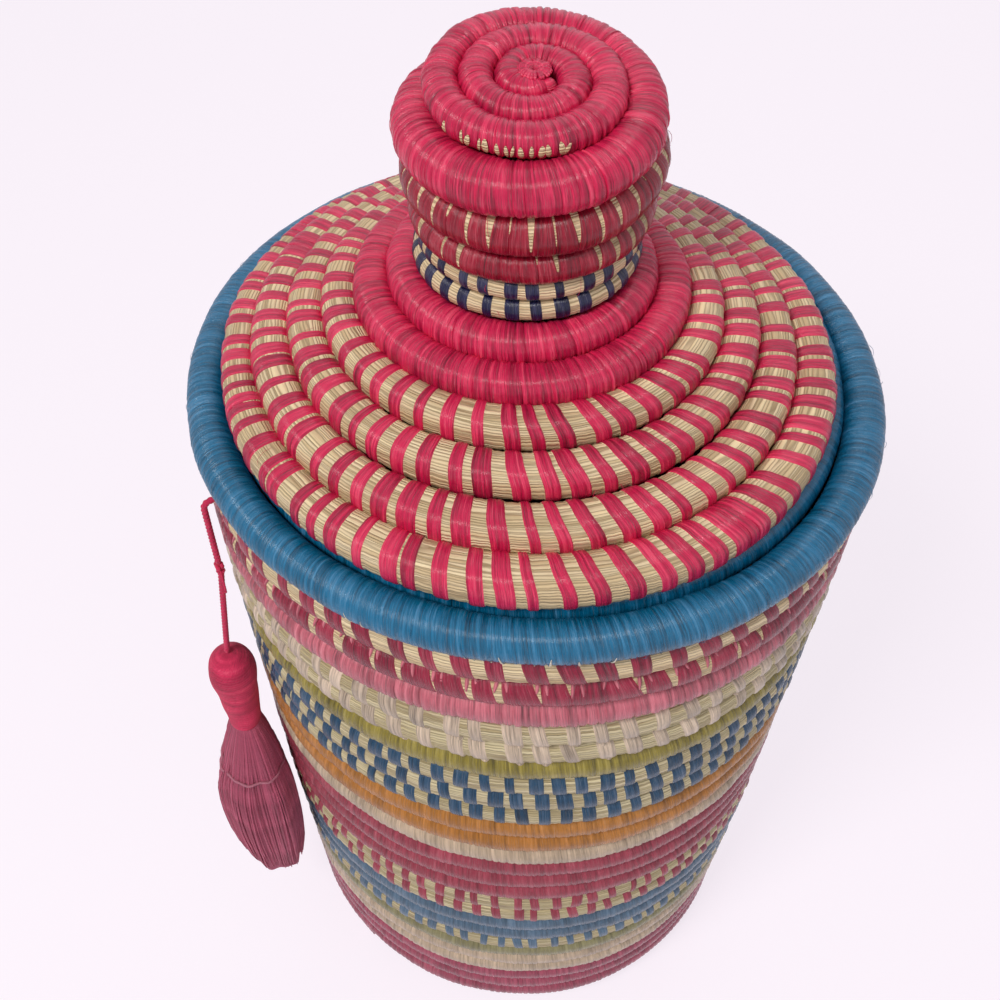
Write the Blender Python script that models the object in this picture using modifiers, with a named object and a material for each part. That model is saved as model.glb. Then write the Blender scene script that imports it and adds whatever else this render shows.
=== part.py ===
"""Tall lidded basket of coiled straw wrapped with coloured raffia.

One long straw bundle, wrapped and stitched row on row, makes the body, and a second one makes
the lid with its hollow knob. A thread tassel hangs on a cord from under the rim. Metres, +Z up,
with the origin on the floor under the middle of the base.
"""

import math

import bpy
import numpy as np
from mathutils import Matrix, Vector

# Sizes of the body
RIM_RADIUS = 0.1100
RIM_COIL = 0.0130
RIM_HEIGHT = 0.3080
RIM_OVERHANG = 0.0012
WALL_TAPER = 0.0098
BASE_THICKNESS = 0.0095
BASE_INSET = 0.0040
BASE_EDGE_ROUNDING = 0.0035

# Sizes of the lid: a coil's size here is the vertical thickness of its row
EDGE_COIL = 0.0090
EDGE_RISE = 0.0012
DOME_RISE = 0.0253
COLLAR_RADIUS = 0.0500
COLLAR_COIL = 0.0111
NECK_RADIUS = 0.0325
NAVY_ROW = 0.0067
LOWER_PINK_ROW = 0.0092
UPPER_PINK_ROW = 0.0126
KNOB_RADIUS = 0.0371
SHOULDER_COIL = 0.0126
KNOB_EYE_RADIUS = 0.0034
KNOB_LEAN = -0.0020
KNOB_BACK_RISE = 0.0056

# The knob's top ring lies this far in from the shoulder row and this far above it, as shares of
# their section radii added together
RING_INSET = 0.7388
RING_RISE = 0.6953

# Sizes of the tassel, which hangs beside the wall: standoffs are counted outward from the rim's
# radius, and drops down from its middle
TASSEL_AZIMUTH = 207.0
KNOT_STANDOFF = 0.0012
TASSEL_STANDOFF = 0.0062
CORD_THICKNESS = 0.0022
KNOT_DROP = 0.0440
KNOT_THICKNESS = 0.0046
HEAD_DROP = 0.0910
HEAD_LENGTH = 0.0440
HEAD_THICKNESS = 0.0170
HEAD_NECK = 0.0126
SKIRT_FOOT_HEIGHT = 0.0440
SKIRT_WIDTH = 0.0340
SKIRT_FLATNESS = 0.66
TIE_THREAD = 0.0012

# Clearances between neighbouring pieces
ROW_GAP = 0.0005
DOME_GAP = 0.0008
END_GAP = 0.0003
CORD_GAP = 0.0006
LID_CLEARANCE = 0.00035

# Facets: points in one turn of a wide coil and of a narrow one
WALL_POINTS = 18
KNOB_POINTS = 12
SKIRT_POINTS = 20
FACET = 360 / WALL_POINTS

# A six-sided section has a corner on each side and a flat above and below
FLAT = math.cos(math.radians(30))

# The wall rows climb by one row over this part of a turn, at the back, and thin out at both ends
CLIMB_SHARE = 1 / 3
THIN_END = 0.25

# Coils are parted whole facets away from the tassel, so that its cord leaves a facet squarely
WALL_BREAK_AZIMUTH = TASSEL_AZIMUTH - 8 * FACET
LID_FRONT_AZIMUTH = TASSEL_AZIMUTH + 4 * FACET

# The wall from the foot up: node name, rows in it, colour
WALL_BANDS = [
    ("foot_pink_rows", 3, (0.56, 0.20, 0.30)),
    ("lower_cream_rows", 2, (0.74, 0.66, 0.56)),
    ("olive_grey_row", 1, (0.45, 0.44, 0.34)),
    ("small_check_row", 1, (0.45, 0.50, 0.52)),
    ("blue_grey_rows", 2, (0.26, 0.36, 0.48)),
    ("pink_upright_rows", 2, (0.66, 0.36, 0.38)),
    ("plum_pink_rows", 3, (0.50, 0.13, 0.22)),
    ("upper_cream_row", 1, (0.72, 0.64, 0.54)),
    ("tan_rows", 2, (0.62, 0.36, 0.14)),
    ("blue_check_rows", 3, (0.34, 0.42, 0.46)),
    ("olive_row", 1, (0.44, 0.42, 0.12)),
    ("straw_rows", 2, (0.72, 0.62, 0.42)),
    ("light_pink_row", 1, (0.66, 0.30, 0.36)),
    ("dark_pink_row", 1, (0.52, 0.06, 0.14)),
    ("pink_stitch_row", 1, (0.66, 0.30, 0.30)),
]
WALL_ROWS = sum(rows for _, rows, _ in WALL_BANDS)
PINK = (0.60, 0.04, 0.10)
STRAW = (0.72, 0.60, 0.36)
NAVY = (0.03, 0.04, 0.22)
BLUE = (0.01, 0.17, 0.35)
TASSEL_PINK = (0.50, 0.05, 0.14)


def smooth(share):
    share = min(max(share, 0.0), 1.0)
    return share * share * (3 - 2 * share)


def on_circle(radius, azimuth, height, middle=0.0):
    angle = math.radians(azimuth)
    return Vector((middle + radius * math.cos(angle), radius * math.sin(angle), height))


def between(keys, turn):
    """The values at this turn on a smooth curve through the keys, whose first value is their turn."""
    last = len(keys) - 2
    index = max(i for i in range(last + 1) if keys[i][0] <= turn or i == 0)
    before, start, end, after = (keys[min(max(index + k, 0), last + 1)] for k in (-1, 0, 1, 2))
    span = end[0] - start[0]
    share = (turn - start[0]) / span
    found = []
    for column in range(1, len(start)):
        enter = (end[column] - before[column]) / (end[0] - before[0]) * span
        leave = (after[column] - start[column]) / (after[0] - start[0]) * span
        rise = end[column] - start[column]
        found.append(
            start[column]
            + share * enter
            + share**2 * (3 * rise - 2 * enter - leave)
            + share**3 * (enter + leave - 2 * rise)
        )
    return found


def stretch(path, first, last, per_turn, free_start=False, free_end=False):
    """Centres and section radii along one coil from turn to turn.

    Its points lie half a step off each whole step, so that a stretch ends in the middle of a
    straight run, square to the next stretch's start.
    """
    step = 1 / per_turn
    count = round((last - first) * per_turn)
    line = [path(first + (i + 0.5) * step) for i in range(count)]
    ends = []
    for turn, inward in ((first, 1), (last, -1)):
        (back, thin), (front, thick) = path(turn - step / 2), path(turn + step / 2)
        trim = inward * END_GAP / 2 * (front - back).normalized()
        ends.append(((back + front) / 2 + trim, (thin + thick) / 2))
    if not free_start:
        line.insert(0, ends[0])
    if not free_end:
        line.append(ends[1])
    return [centre for centre, _ in line], [radius for _, radius in line]


def material(name, colour, roughness):
    made = bpy.data.materials.new(name)
    made.use_nodes = True
    shader = made.node_tree.nodes["Principled BSDF"]
    shader.inputs["Base Color"].default_value = (*colour, 1)
    shader.inputs["Roughness"].default_value = roughness
    shader.inputs["Metallic"].default_value = 0.0
    made.diffuse_color = (*colour, 1)
    return made


class Assembly:
    """The collection that holds the parts, with the two ways to shape one."""

    def __init__(self, name):
        self.collection = bpy.data.collections.new(name)
        bpy.context.scene.collection.children.link(self.collection)

    def add(self, name, data, colour, roughness):
        data.materials.append(material(name, colour, roughness))
        part = bpy.data.objects.new(name, data)
        self.collection.objects.link(part)
        return part

    def tube(self, name, line, colour, resolution=1, roughness=0.55):
        """An unbroken tube along the line, a list of points and one of section radii."""
        points, radii = line
        widest = max(radii)
        curve = bpy.data.curves.new(name, "CURVE")
        curve.dimensions = "3D"
        curve.twist_mode = "Z_UP"
        curve.bevel_depth = widest
        curve.bevel_resolution = resolution
        curve.use_fill_caps = True
        spline = curve.splines.new("POLY")
        spline.points.add(len(points) - 1)
        for target, point, radius in zip(spline.points, points, radii):
            target.co = (*point, 1)
            target.radius = radius / widest
        return self.add(name, curve, colour, roughness)

    def turned(self, name, profile, steps, colour, roughness=0.6):
        """A profile of (radius, height) points, from the top down its outer side, turned round Z."""
        mesh = bpy.data.meshes.new(name)
        edges = [(i, i + 1) for i in range(len(profile) - 1)]
        mesh.from_pydata([(radius, 0, height) for radius, height in profile], edges, [])
        part = self.add(name, mesh, colour, roughness)
        screw = part.modifiers.new("turn", "SCREW")
        screw.steps = screw.render_steps = steps
        screw.use_merge_vertices = True
        screw.merge_threshold = 0.00001
        screw.use_smooth_shade = True
        return part

    def hinge(self, name, place, parts):
        """An empty on a joint's axis that carries the parts, which stay where they are."""
        pivot = bpy.data.objects.new(name, None)
        pivot.empty_display_size = 0.01
        pivot.location = place
        self.collection.objects.link(pivot)
        for part in parts:
            part.parent = pivot
            part.matrix_parent_inverse = Matrix.Translation(-place)
        return pivot


class Wall:
    """The rows of the body, one rising coil from the foot to under the rim."""

    def __init__(self):
        self.foot = BASE_THICKNESS + ROW_GAP
        self.ceiling = RIM_HEIGHT - FLAT * RIM_COIL / 2 - ROW_GAP
        self.pitch = (self.ceiling - self.foot + ROW_GAP) / WALL_ROWS
        self.row = self.pitch - ROW_GAP

    @staticmethod
    def outside(height):
        return RIM_RADIUS - RIM_OVERHANG - WALL_TAPER * (1 - height / RIM_HEIGHT)

    def height_and_thickness(self, turn):
        """The row's middle and thickness. The first row wedges in and the last one wedges out."""
        whole = math.floor(turn)
        climb = smooth((turn - whole) / CLIMB_SHARE)
        if whole < 1:
            thickness = self.pitch * climb - ROW_GAP
            return self.foot + thickness / 2, thickness
        if whole < WALL_ROWS:
            return self.foot + self.row / 2 + self.pitch * (whole - 1 + climb), self.row
        thickness = self.row - self.pitch * smooth((turn - WALL_ROWS) / CLIMB_SHARE)
        return self.ceiling - thickness / 2, thickness

    def path(self, turn):
        height, thickness = self.height_and_thickness(turn)
        section = thickness / (2 * FLAT)
        azimuth = WALL_BREAK_AZIMUTH + 360 * turn
        return on_circle(self.outside(height) - section, azimuth, height), section

    def free_end(self, turn, step):
        """The last turn, going by whole steps, at which the row isn't too thin."""
        while self.height_and_thickness(turn + step / 2)[1] > THIN_END * self.row:
            turn += step
        return turn

    def bands(self):
        """Each band's name, colour and line of coil, from the foot up."""
        step = 1 / WALL_POINTS
        first = CLIMB_SHARE
        while self.height_and_thickness(first - step / 2)[1] > THIN_END * self.row:
            first -= step
        row = 0
        for name, rows, colour in WALL_BANDS:
            start = first if row == 0 else row
            row += rows
            top = row == WALL_ROWS
            end = self.free_end(row, step) if top else row
            yield name, colour, stretch(self.path, start, end, WALL_POINTS, start == first, top)


class Lid:
    """The lid's coil, from the eye of the knob down and out to the blue edge.

    Turns are counted clockwise from above and are whole at the front. Heights are counted from
    the rim's middle. Neighbouring turns are a gap apart at the flats that face each other.
    """

    FIRST_TURN = 0.8
    KNOB_TOP_END = 3.5
    SHOULDER_END = 4.5
    PINK_END = 6.5
    NAVY_END = 8.5
    COLLAR_END = 10.5
    STRIPES_END = 14 + 13 / WALL_POINTS
    LAST_TURN = 15 + 12 / WALL_POINTS

    def __init__(self):
        self.edge = EDGE_COIL / (2 * FLAT)
        self.collar = COLLAR_COIL / (2 * FLAT)
        rim_inside = RIM_RADIUS - RIM_COIL
        seat = rim_inside + EDGE_RISE * math.tan(math.radians(30)) - LID_CLEARANCE / FLAT
        self.edge_radius = seat - self.edge
        self.collar_radius = COLLAR_RADIUS - self.collar
        self.last_radius = self.edge_radius - 0.0042
        self.last_row = self.section(self.dome_radius(13), self.dome_radius(14))
        self.keys = self.dome_keys(self.knob_keys())

    @staticmethod
    def stack(upper, lower, gap=ROW_GAP):
        """How far apart two rows' middles are, one above the other."""
        return FLAT * (upper + lower) + gap

    def section(self, inner, outer):
        """The section radius that fills the slope between two turns of the dome."""
        apart = FLAT * (outer - inner) + DOME_RISE / 8
        return (apart - DOME_GAP) / (2 * FLAT)

    def dome_radius(self, turn):
        share = (turn - 10) / 4
        spread = 0.9 * share + 0.1 * share**2
        return self.collar_radius + spread * (self.last_radius - self.collar_radius)

    def knob_keys(self):
        """Turn, radius, height and section radius from the eye to the outer collar coil."""
        navy, lower, upper, shoulder = (
            size / (2 * FLAT) for size in (NAVY_ROW, LOWER_PINK_ROW, UPPER_PINK_ROW, SHOULDER_COIL)
        )
        neck_radius = NECK_RADIUS - navy
        shoulder_radius = self.shoulder_radius = KNOB_RADIUS - shoulder
        inner_collar_radius = NECK_RADIUS + 0.0007
        height = EDGE_RISE + self.stack(self.last_row, self.edge) + DOME_RISE
        heights = {10: height}
        across = FLAT * (self.collar_radius - inner_collar_radius)
        heights[9] = heights[10] + 2 * (self.stack(self.collar, self.collar, DOME_GAP) - across)
        heights[8] = heights[9] + self.stack(navy, self.collar)
        heights[7] = heights[8] + self.stack(navy, navy)
        heights[6] = heights[7] + self.stack(lower, navy)
        heights[5] = heights[6] + self.stack(upper, lower)
        heights[4] = heights[5] + self.stack(shoulder, upper)
        room = shoulder_radius - KNOB_EYE_RADIUS - RING_INSET * shoulder - 2 * ROW_GAP
        ring = room / (4 + RING_INSET)
        ring_pitch = 2 * ring + ROW_GAP
        ring_radius = KNOB_EYE_RADIUS + 2 * ring_pitch
        top = heights[4] + RING_RISE * (ring + shoulder)
        return [
            (0.8, 0.35 * KNOB_EYE_RADIUS, top, 0.62 * ring),
            (1, KNOB_EYE_RADIUS, top, 0.88 * ring),
            (1.5, KNOB_EYE_RADIUS + ring_pitch / 2, top, ring),
            (2, KNOB_EYE_RADIUS + ring_pitch, top, ring),
            (3, ring_radius, top - 0.0004, ring),
            (3.5, shoulder_radius - 0.0037, top - 0.0022, 0.69 * shoulder),
            (4, shoulder_radius, heights[4], shoulder),
            (4.5, shoulder_radius, (heights[4] + heights[5]) / 2, 0.97 * shoulder),
            (5, KNOB_RADIUS - 0.0015 - upper, heights[5], upper),
            (6, KNOB_RADIUS - 0.0030 - lower, heights[6], lower),
            (7, neck_radius, heights[7], navy),
            (8, neck_radius, heights[8], navy),
            (8.25, neck_radius + 0.0005, 0.77 * heights[8] + 0.23 * heights[9], 0.66 * self.collar),
            (8.5, neck_radius + 0.0018, 0.5 * heights[8] + 0.5 * heights[9], 0.78 * self.collar),
            (9, inner_collar_radius, heights[9], self.collar),
            (10, self.collar_radius, heights[10], self.collar),
        ]

    def dome_keys(self, keys):
        """The keys followed by those of the striped rows and of the edge."""
        height = keys[-1][2]
        for turn in (11, 12, 13, 14):
            height -= DOME_RISE / 4
            radius = self.dome_radius(turn)
            keys.append((turn, radius, height, self.section(self.dome_radius(turn - 1), radius)))
        edge, last = self.edge, self.last_row
        edge_turn = (self.edge_radius, EDGE_RISE, edge)
        return keys + [
            (14.25, self.last_radius + 0.0022, height - 0.0007, 0.82 * last),
            (14.5, self.last_radius + 0.0041, height - 0.0024, 0.66 * last),
            (14.7, self.edge_radius + 0.0007, EDGE_RISE + 0.0038, edge),
            (14.85, self.edge_radius, EDGE_RISE + 0.0005, edge),
            (15, *edge_turn),
            (15.25, self.edge_radius, EDGE_RISE, 0.97 * edge),
            (15.5, self.edge_radius, EDGE_RISE - 0.0002, 0.93 * edge),
            (15.6, self.edge_radius, EDGE_RISE - 0.0012, 0.62 * edge),
            (15.7, self.edge_radius, EDGE_RISE - 0.0026, 0.33 * edge),
        ]

    def path(self, turn):
        """The knob leans to the left, and its rows lie higher and higher at the back."""
        radius, height, section = between(self.keys, turn)
        azimuth = LID_FRONT_AZIMUTH - 360 * turn
        lean = KNOB_LEAN * (1 - min(max((turn - 10) / 4.5, 0.0), 1.0))
        backward = radius * math.sin(math.radians(azimuth)) / self.shoulder_radius
        share = min(max((self.NAVY_END - turn) / (self.NAVY_END - self.KNOB_TOP_END), 0.0), 1.0)
        height += KNOB_BACK_RISE * share * (1 + backward) / 2
        return on_circle(radius, azimuth, RIM_HEIGHT + height, lean), section

    def line(self, first, last, per_turn=WALL_POINTS, free_start=False, free_end=False):
        return stretch(self.path, first, last, per_turn, free_start, free_end)


def report_least_gap(part, per_turn):
    """Prints the least distance between points on two different turns of a coil's surface."""
    graph = bpy.context.evaluated_depsgraph_get()
    mesh = part.evaluated_get(graph).to_mesh()
    points = np.array([vertex.co for vertex in mesh.vertices])
    part.evaluated_get(graph).to_mesh_clear()
    centres = np.array([point.co[:3] for point in part.data.splines[0].points])
    nearest = np.linalg.norm(points[:, None] - centres[None], axis=2).argmin(axis=1)
    apart = np.abs(nearest[:, None] - nearest[None]) > per_turn / 3
    if not apart.any():
        print(f"{part.name}: one open turn")
        return
    gaps = np.linalg.norm(points[:, None] - points[None], axis=2)[apart]
    print(f"{part.name}: least gap between its turns {1000 * gaps.min():.2f} mm")


def build_body(basket):
    wall = Wall()
    base = wall.outside(0) - BASE_INSET
    rounding = BASE_EDGE_ROUNDING
    bends = [math.radians(angle) for angle in (90, 60, 30, 0)]
    upper = [
        (base - rounding + rounding * math.cos(a), BASE_THICKNESS - rounding + rounding * math.sin(a))
        for a in bends
    ]
    lower = [(radius, BASE_THICKNESS - height) for radius, height in reversed(upper)]
    profile = [(0, BASE_THICKNESS), *upper, *lower, (0, 0)]
    basket.turned("base_disc", profile, 2 * WALL_POINTS, (0.56, 0.20, 0.30))

    coils = [
        (basket.tube(name, line, colour), WALL_POINTS) for name, colour, line in wall.bands()
    ]

    def rim_path(turn):
        azimuth = WALL_BREAK_AZIMUTH + 360 * turn
        return on_circle(RIM_RADIUS - RIM_COIL / 2, azimuth, RIM_HEIGHT), RIM_COIL / 2

    coils.append(
        (basket.tube("rim_coil", stretch(rim_path, 0, 1, WALL_POINTS), BLUE, 1, 0.4), WALL_POINTS)
    )
    return coils


def build_lid(basket):
    lid = Lid()
    first, last = Lid.FIRST_TURN, Lid.LAST_TURN
    start = Lid.KNOB_TOP_END - math.floor((Lid.KNOB_TOP_END - first) * KNOB_POINTS) / KNOB_POINTS
    stretches = [
        ("knob_top_coil", start, Lid.KNOB_TOP_END, KNOB_POINTS, PINK),
        ("knob_shoulder_coil", Lid.KNOB_TOP_END, Lid.SHOULDER_END, KNOB_POINTS, PINK),
        ("knob_pink_rows", Lid.SHOULDER_END, Lid.PINK_END, KNOB_POINTS, PINK),
        ("knob_navy_rows", Lid.PINK_END, Lid.NAVY_END, WALL_POINTS, NAVY),
        ("lid_collar_rows", Lid.NAVY_END, Lid.COLLAR_END, WALL_POINTS, PINK),
        ("lid_striped_rows", Lid.COLLAR_END, Lid.STRIPES_END, WALL_POINTS, STRAW),
        ("lid_edge_coil", Lid.STRIPES_END, last, WALL_POINTS, BLUE),
    ]
    coils = []
    for name, begin, end, per_turn, colour in stretches:
        line = lid.line(begin, end, per_turn, begin == start, end == last)
        coils.append((basket.tube(name, line, colour), per_turn))
    return coils


def build_tassel(basket):
    """The tassel on its cord: a short looped cord to a knot, a longer one, a head and a skirt."""
    wall = Wall()
    outward = on_circle(1, TASSEL_AZIMUTH, 0)
    knot_hang = (RIM_RADIUS + KNOT_STANDOFF) * outward
    hang = (RIM_RADIUS + TASSEL_STANDOFF) * outward
    exit_height = wall.ceiling - wall.row / 2
    knot_height = RIM_HEIGHT - KNOT_DROP
    head_top = RIM_HEIGHT - HEAD_DROP
    facet_radius = wall.outside(exit_height) * math.cos(math.pi / WALL_POINTS)
    exit_point = (facet_radius + CORD_GAP) * outward
    bend_start = exit_point + CORD_THICKNESS / 2 * outward
    reach = knot_hang.length - bend_start.length
    curve = [exit_point + Vector((0, 0, exit_height))]
    for angle in (0, 30, 60, 90):
        along = reach * math.sin(math.radians(angle))
        down = reach * (1 - math.cos(math.radians(angle)))
        curve.append(bend_start + along * outward + Vector((0, 0, exit_height - down)))
    knot_top = knot_height + KNOT_THICKNESS / 2 + END_GAP
    fall = curve[-1].z - knot_top
    steps = math.ceil(fall / (2.5 * CORD_THICKNESS))
    bend_end = curve[-1].z
    line = curve + [
        knot_hang + Vector((0, 0, bend_end - fall * i / steps)) for i in range(1, steps + 1)
    ]
    loop = basket.tube("cord_loop", (line, [CORD_THICKNESS / 2] * len(line)), TASSEL_PINK, 2)

    knot = KNOT_THICKNESS / 2
    arc = [math.radians(angle) for angle in (90, 60, 30, 0, -30, -60, -90)]
    ball = [(knot * math.cos(a) if abs(a) < 1.5 else 0, knot * math.sin(a)) for a in arc]
    knot_place = knot_hang + Vector((0, 0, knot_height))
    tied = basket.turned("cord_knot", ball, 12, TASSEL_PINK)
    tied.location = knot_place

    start = knot_hang + Vector((0, 0, knot_height - KNOT_THICKNESS / 2 - END_GAP))
    run = hang + Vector((0, 0, head_top + END_GAP)) - start
    steps = math.ceil(run.length / (2.5 * CORD_THICKNESS))
    line = [start + run * i / steps for i in range(steps + 1)]
    cord = basket.tube("tassel_cord", (line, [CORD_THICKNESS / 2] * len(line)), TASSEL_PINK, 2)

    wide, neck = HEAD_THICKNESS / 2, HEAD_NECK / 2
    head = [
        (0, 0),
        (0.45 * wide, -0.10 * wide),
        (0.82 * wide, -0.45 * wide),
        (wide, -1.10 * wide),
        (0.97 * wide, -1.9 * wide),
        (1.06 * neck, -0.72 * HEAD_LENGTH),
        (neck, -0.90 * HEAD_LENGTH),
        (neck, -HEAD_LENGTH),
        (0, -HEAD_LENGTH),
    ]
    bulb = basket.turned("tassel_head", head, 16, TASSEL_PINK)
    bulb.location = hang + Vector((0, 0, head_top))

    broad = SKIRT_WIDTH / 2
    skirt_top = head_top - HEAD_LENGTH - END_GAP
    skirt_length = skirt_top - SKIRT_FOOT_HEIGHT
    outline = [(0, 0), (0.40, 0), (0.52, 0.05), (0.72, 0.16), (0.88, 0.27), (1, 0.48)]
    outline += [(0.96, 0.64), (0.80, 0.80), (0.52, 0.97), (0.44, 1), (0, 1)]
    skirt = [(broad * share, -skirt_length * down) for share, down in outline]
    part = basket.turned("tassel_skirt", skirt, SKIRT_POINTS, TASSEL_PINK)
    part.location = hang + Vector((0, 0, skirt_top))
    part.rotation_euler.z = math.radians(TASSEL_AZIMUTH)
    part.scale.x = SKIRT_FLATNESS

    tie_share, tie_down = 0.88, 0.27
    tie_height = skirt_top - tie_down * skirt_length
    clear = 2 * END_GAP + TIE_THREAD / 2

    def tie_path(turn):
        angle = 2 * math.pi * (turn + 0.5 / SKIRT_POINTS)
        across = outward * (tie_share * broad * SKIRT_FLATNESS + clear) * math.cos(angle)
        sideways = Vector((-outward.y, outward.x, 0)) * (tie_share * broad + clear) * math.sin(angle)
        return hang + across + sideways + Vector((0, 0, tie_height)), TIE_THREAD / 2

    tie = basket.tube("tassel_tie", stretch(tie_path, 0, 1, SKIRT_POINTS), TASSEL_PINK)

    cord_hinge = exit_point + CORD_THICKNESS / 2 * outward + Vector((0, 0, exit_height))
    swinging = basket.hinge("cord_hinge", cord_hinge, [loop, tied])
    swaying = basket.hinge("tassel_hinge", knot_place, [cord, bulb, part, tie])
    swaying.parent = swinging
    swaying.matrix_parent_inverse = Matrix.Translation(-cord_hinge)
    print("cord hinge", [round(value, 5) for value in cord_hinge])
    print("tassel hinge", [round(value, 5) for value in knot_place])
    return [(tie, SKIRT_POINTS)]


def main():
    for thing in list(bpy.data.objects):
        bpy.data.objects.remove(thing)
    basket = Assembly("lidded_basket")
    coils = build_body(basket) + build_lid(basket) + build_tassel(basket)
    bpy.context.view_layer.update()
    for part, per_turn in coils:
        report_least_gap(part, per_turn)


main()
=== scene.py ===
"""Looks of a tall lidded basket, coiled from straw and wrapped with dyed raffia.

Every row of the basket is one tube of straw bundle with its raffia stitches, laid where the CAD
coil lies. The tassel is made of twisted cord, wound thread and a skirt of loose threads.
"""

import math

import bpy
import numpy as np
from mathutils import Matrix, Vector


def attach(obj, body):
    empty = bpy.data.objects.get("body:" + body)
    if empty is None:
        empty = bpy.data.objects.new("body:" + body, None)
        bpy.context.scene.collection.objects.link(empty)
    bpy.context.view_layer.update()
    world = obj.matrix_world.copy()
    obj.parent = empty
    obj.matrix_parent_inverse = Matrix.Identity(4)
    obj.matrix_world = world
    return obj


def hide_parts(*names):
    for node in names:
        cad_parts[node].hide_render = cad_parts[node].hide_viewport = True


bl_info = {
    "name": "Coiled basket",
    "version": (1, 0, 0),
    "blender": (4, 5, 0),
    "location": "3D View > Sidebar > Basket",
    "description": "Makes the wrapped coils, the tassel and the stage of a lidded basket",
    "category": "Add Mesh",
}

MM = 0.001
# How far a six-sided bundle's flats lie from its middle, as a share of its corners
FLAT = math.cos(math.radians(30))
UP = np.array([0.0, 0.0, 1.0])
# First seeds of the random draws, from which the body's bands and the lid's stretches count on
SEEDS = dict(base=3, rim=7, head=31, skirt=37, fibres=41, eye=53, body=100, lid=200)
# How close points of one seam lie, and the least angle in degrees that is shaded as an edge
SEAM = 0.001 * MM
EDGE_ANGLE = 55

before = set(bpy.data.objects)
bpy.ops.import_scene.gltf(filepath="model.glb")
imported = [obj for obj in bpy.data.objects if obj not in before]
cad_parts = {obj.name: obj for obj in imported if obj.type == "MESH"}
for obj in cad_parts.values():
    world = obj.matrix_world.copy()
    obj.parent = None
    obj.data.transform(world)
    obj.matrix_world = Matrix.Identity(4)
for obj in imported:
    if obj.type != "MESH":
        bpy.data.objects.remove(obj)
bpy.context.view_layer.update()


def srgb(red, green, blue):
    """A colour as it shows on a screen, 0 to 255, as the linear colour that a shader takes."""
    return tuple(
        part / 12.92 if part <= 0.04045 else ((part + 0.055) / 1.055) ** 2.4
        for part in (red / 255, green / 255, blue / 255)
    )


def size(name, description, default):
    return bpy.props.FloatProperty(
        name=name, description=description, default=default, unit="LENGTH", precision=4
    )


def colour(name, description, *screen):
    return bpy.props.FloatVectorProperty(
        name=name, description=description, default=srgb(*screen), size=3, subtype="COLOR"
    )


class BasketSizes(bpy.types.PropertyGroup):
    """Sizes of the coils and of the tassel."""

    rim_radius: size("Rim radius", "Outside of the blue rim", 0.1100)
    rim_coil: size("Rim coil", "Thickness of the blue rim", 0.0130)
    rim_height: size("Rim height", "Height of the rim's middle", 0.3080)
    rim_overhang: size("Rim overhang", "How far the rim stands out from the wall", 0.0012)
    wall_taper: size("Wall taper", "How much less the wall's radius is at the foot", 0.0098)
    base_thickness: size("Base thickness", "Height of the flat coil under the basket", 0.0095)
    base_inset: size("Base inset", "How far the base lies in from the wall's outside", 0.0040)
    edge_coil: size("Lid edge coil", "Thickness of the lid's blue edge", 0.0090)
    dome_rise: size("Dome rise", "Height that the striped rows climb", 0.0253)
    collar_radius: size("Collar radius", "Outside of the outer collar row", 0.0500)
    collar_coil: size("Collar coil", "Thickness of a collar row", 0.0111)
    neck_radius: size("Neck radius", "Outside of the navy rows", 0.0325)
    knob_radius: size("Knob radius", "Outside of the knob's shoulder", 0.0371)
    shoulder_coil: size("Shoulder coil", "Thickness of the knob's shoulder row", 0.0126)
    cord_thickness: size("Cord thickness", "Thickness of the tassel's cord", 0.0022)
    knot_standoff: size("Knot standoff", "How far the knot hangs outside the rim's radius", 0.0012)
    tassel_standoff: size("Tassel standoff", "How far the tassel's middle hangs outside it", 0.0062)
    knot_drop: size("Knot drop", "From the rim's middle down to the knot", 0.0440)
    knot_thickness: size("Knot thickness", "Thickness of the knot", 0.0046)
    head_drop: size("Head drop", "From the rim's middle down to the tassel's head", 0.0910)
    head_length: size("Head length", "Height of the tassel's head", 0.0440)
    head_thickness: size("Head thickness", "Thickness of the tassel's head", 0.0170)
    head_neck: size("Head neck", "Thickness of the head at its foot", 0.0126)
    skirt_foot: size("Skirt foot", "Height of the skirt's foot above the floor", 0.0440)
    skirt_width: size("Skirt width", "Width of the tassel's skirt", 0.0340)


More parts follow.
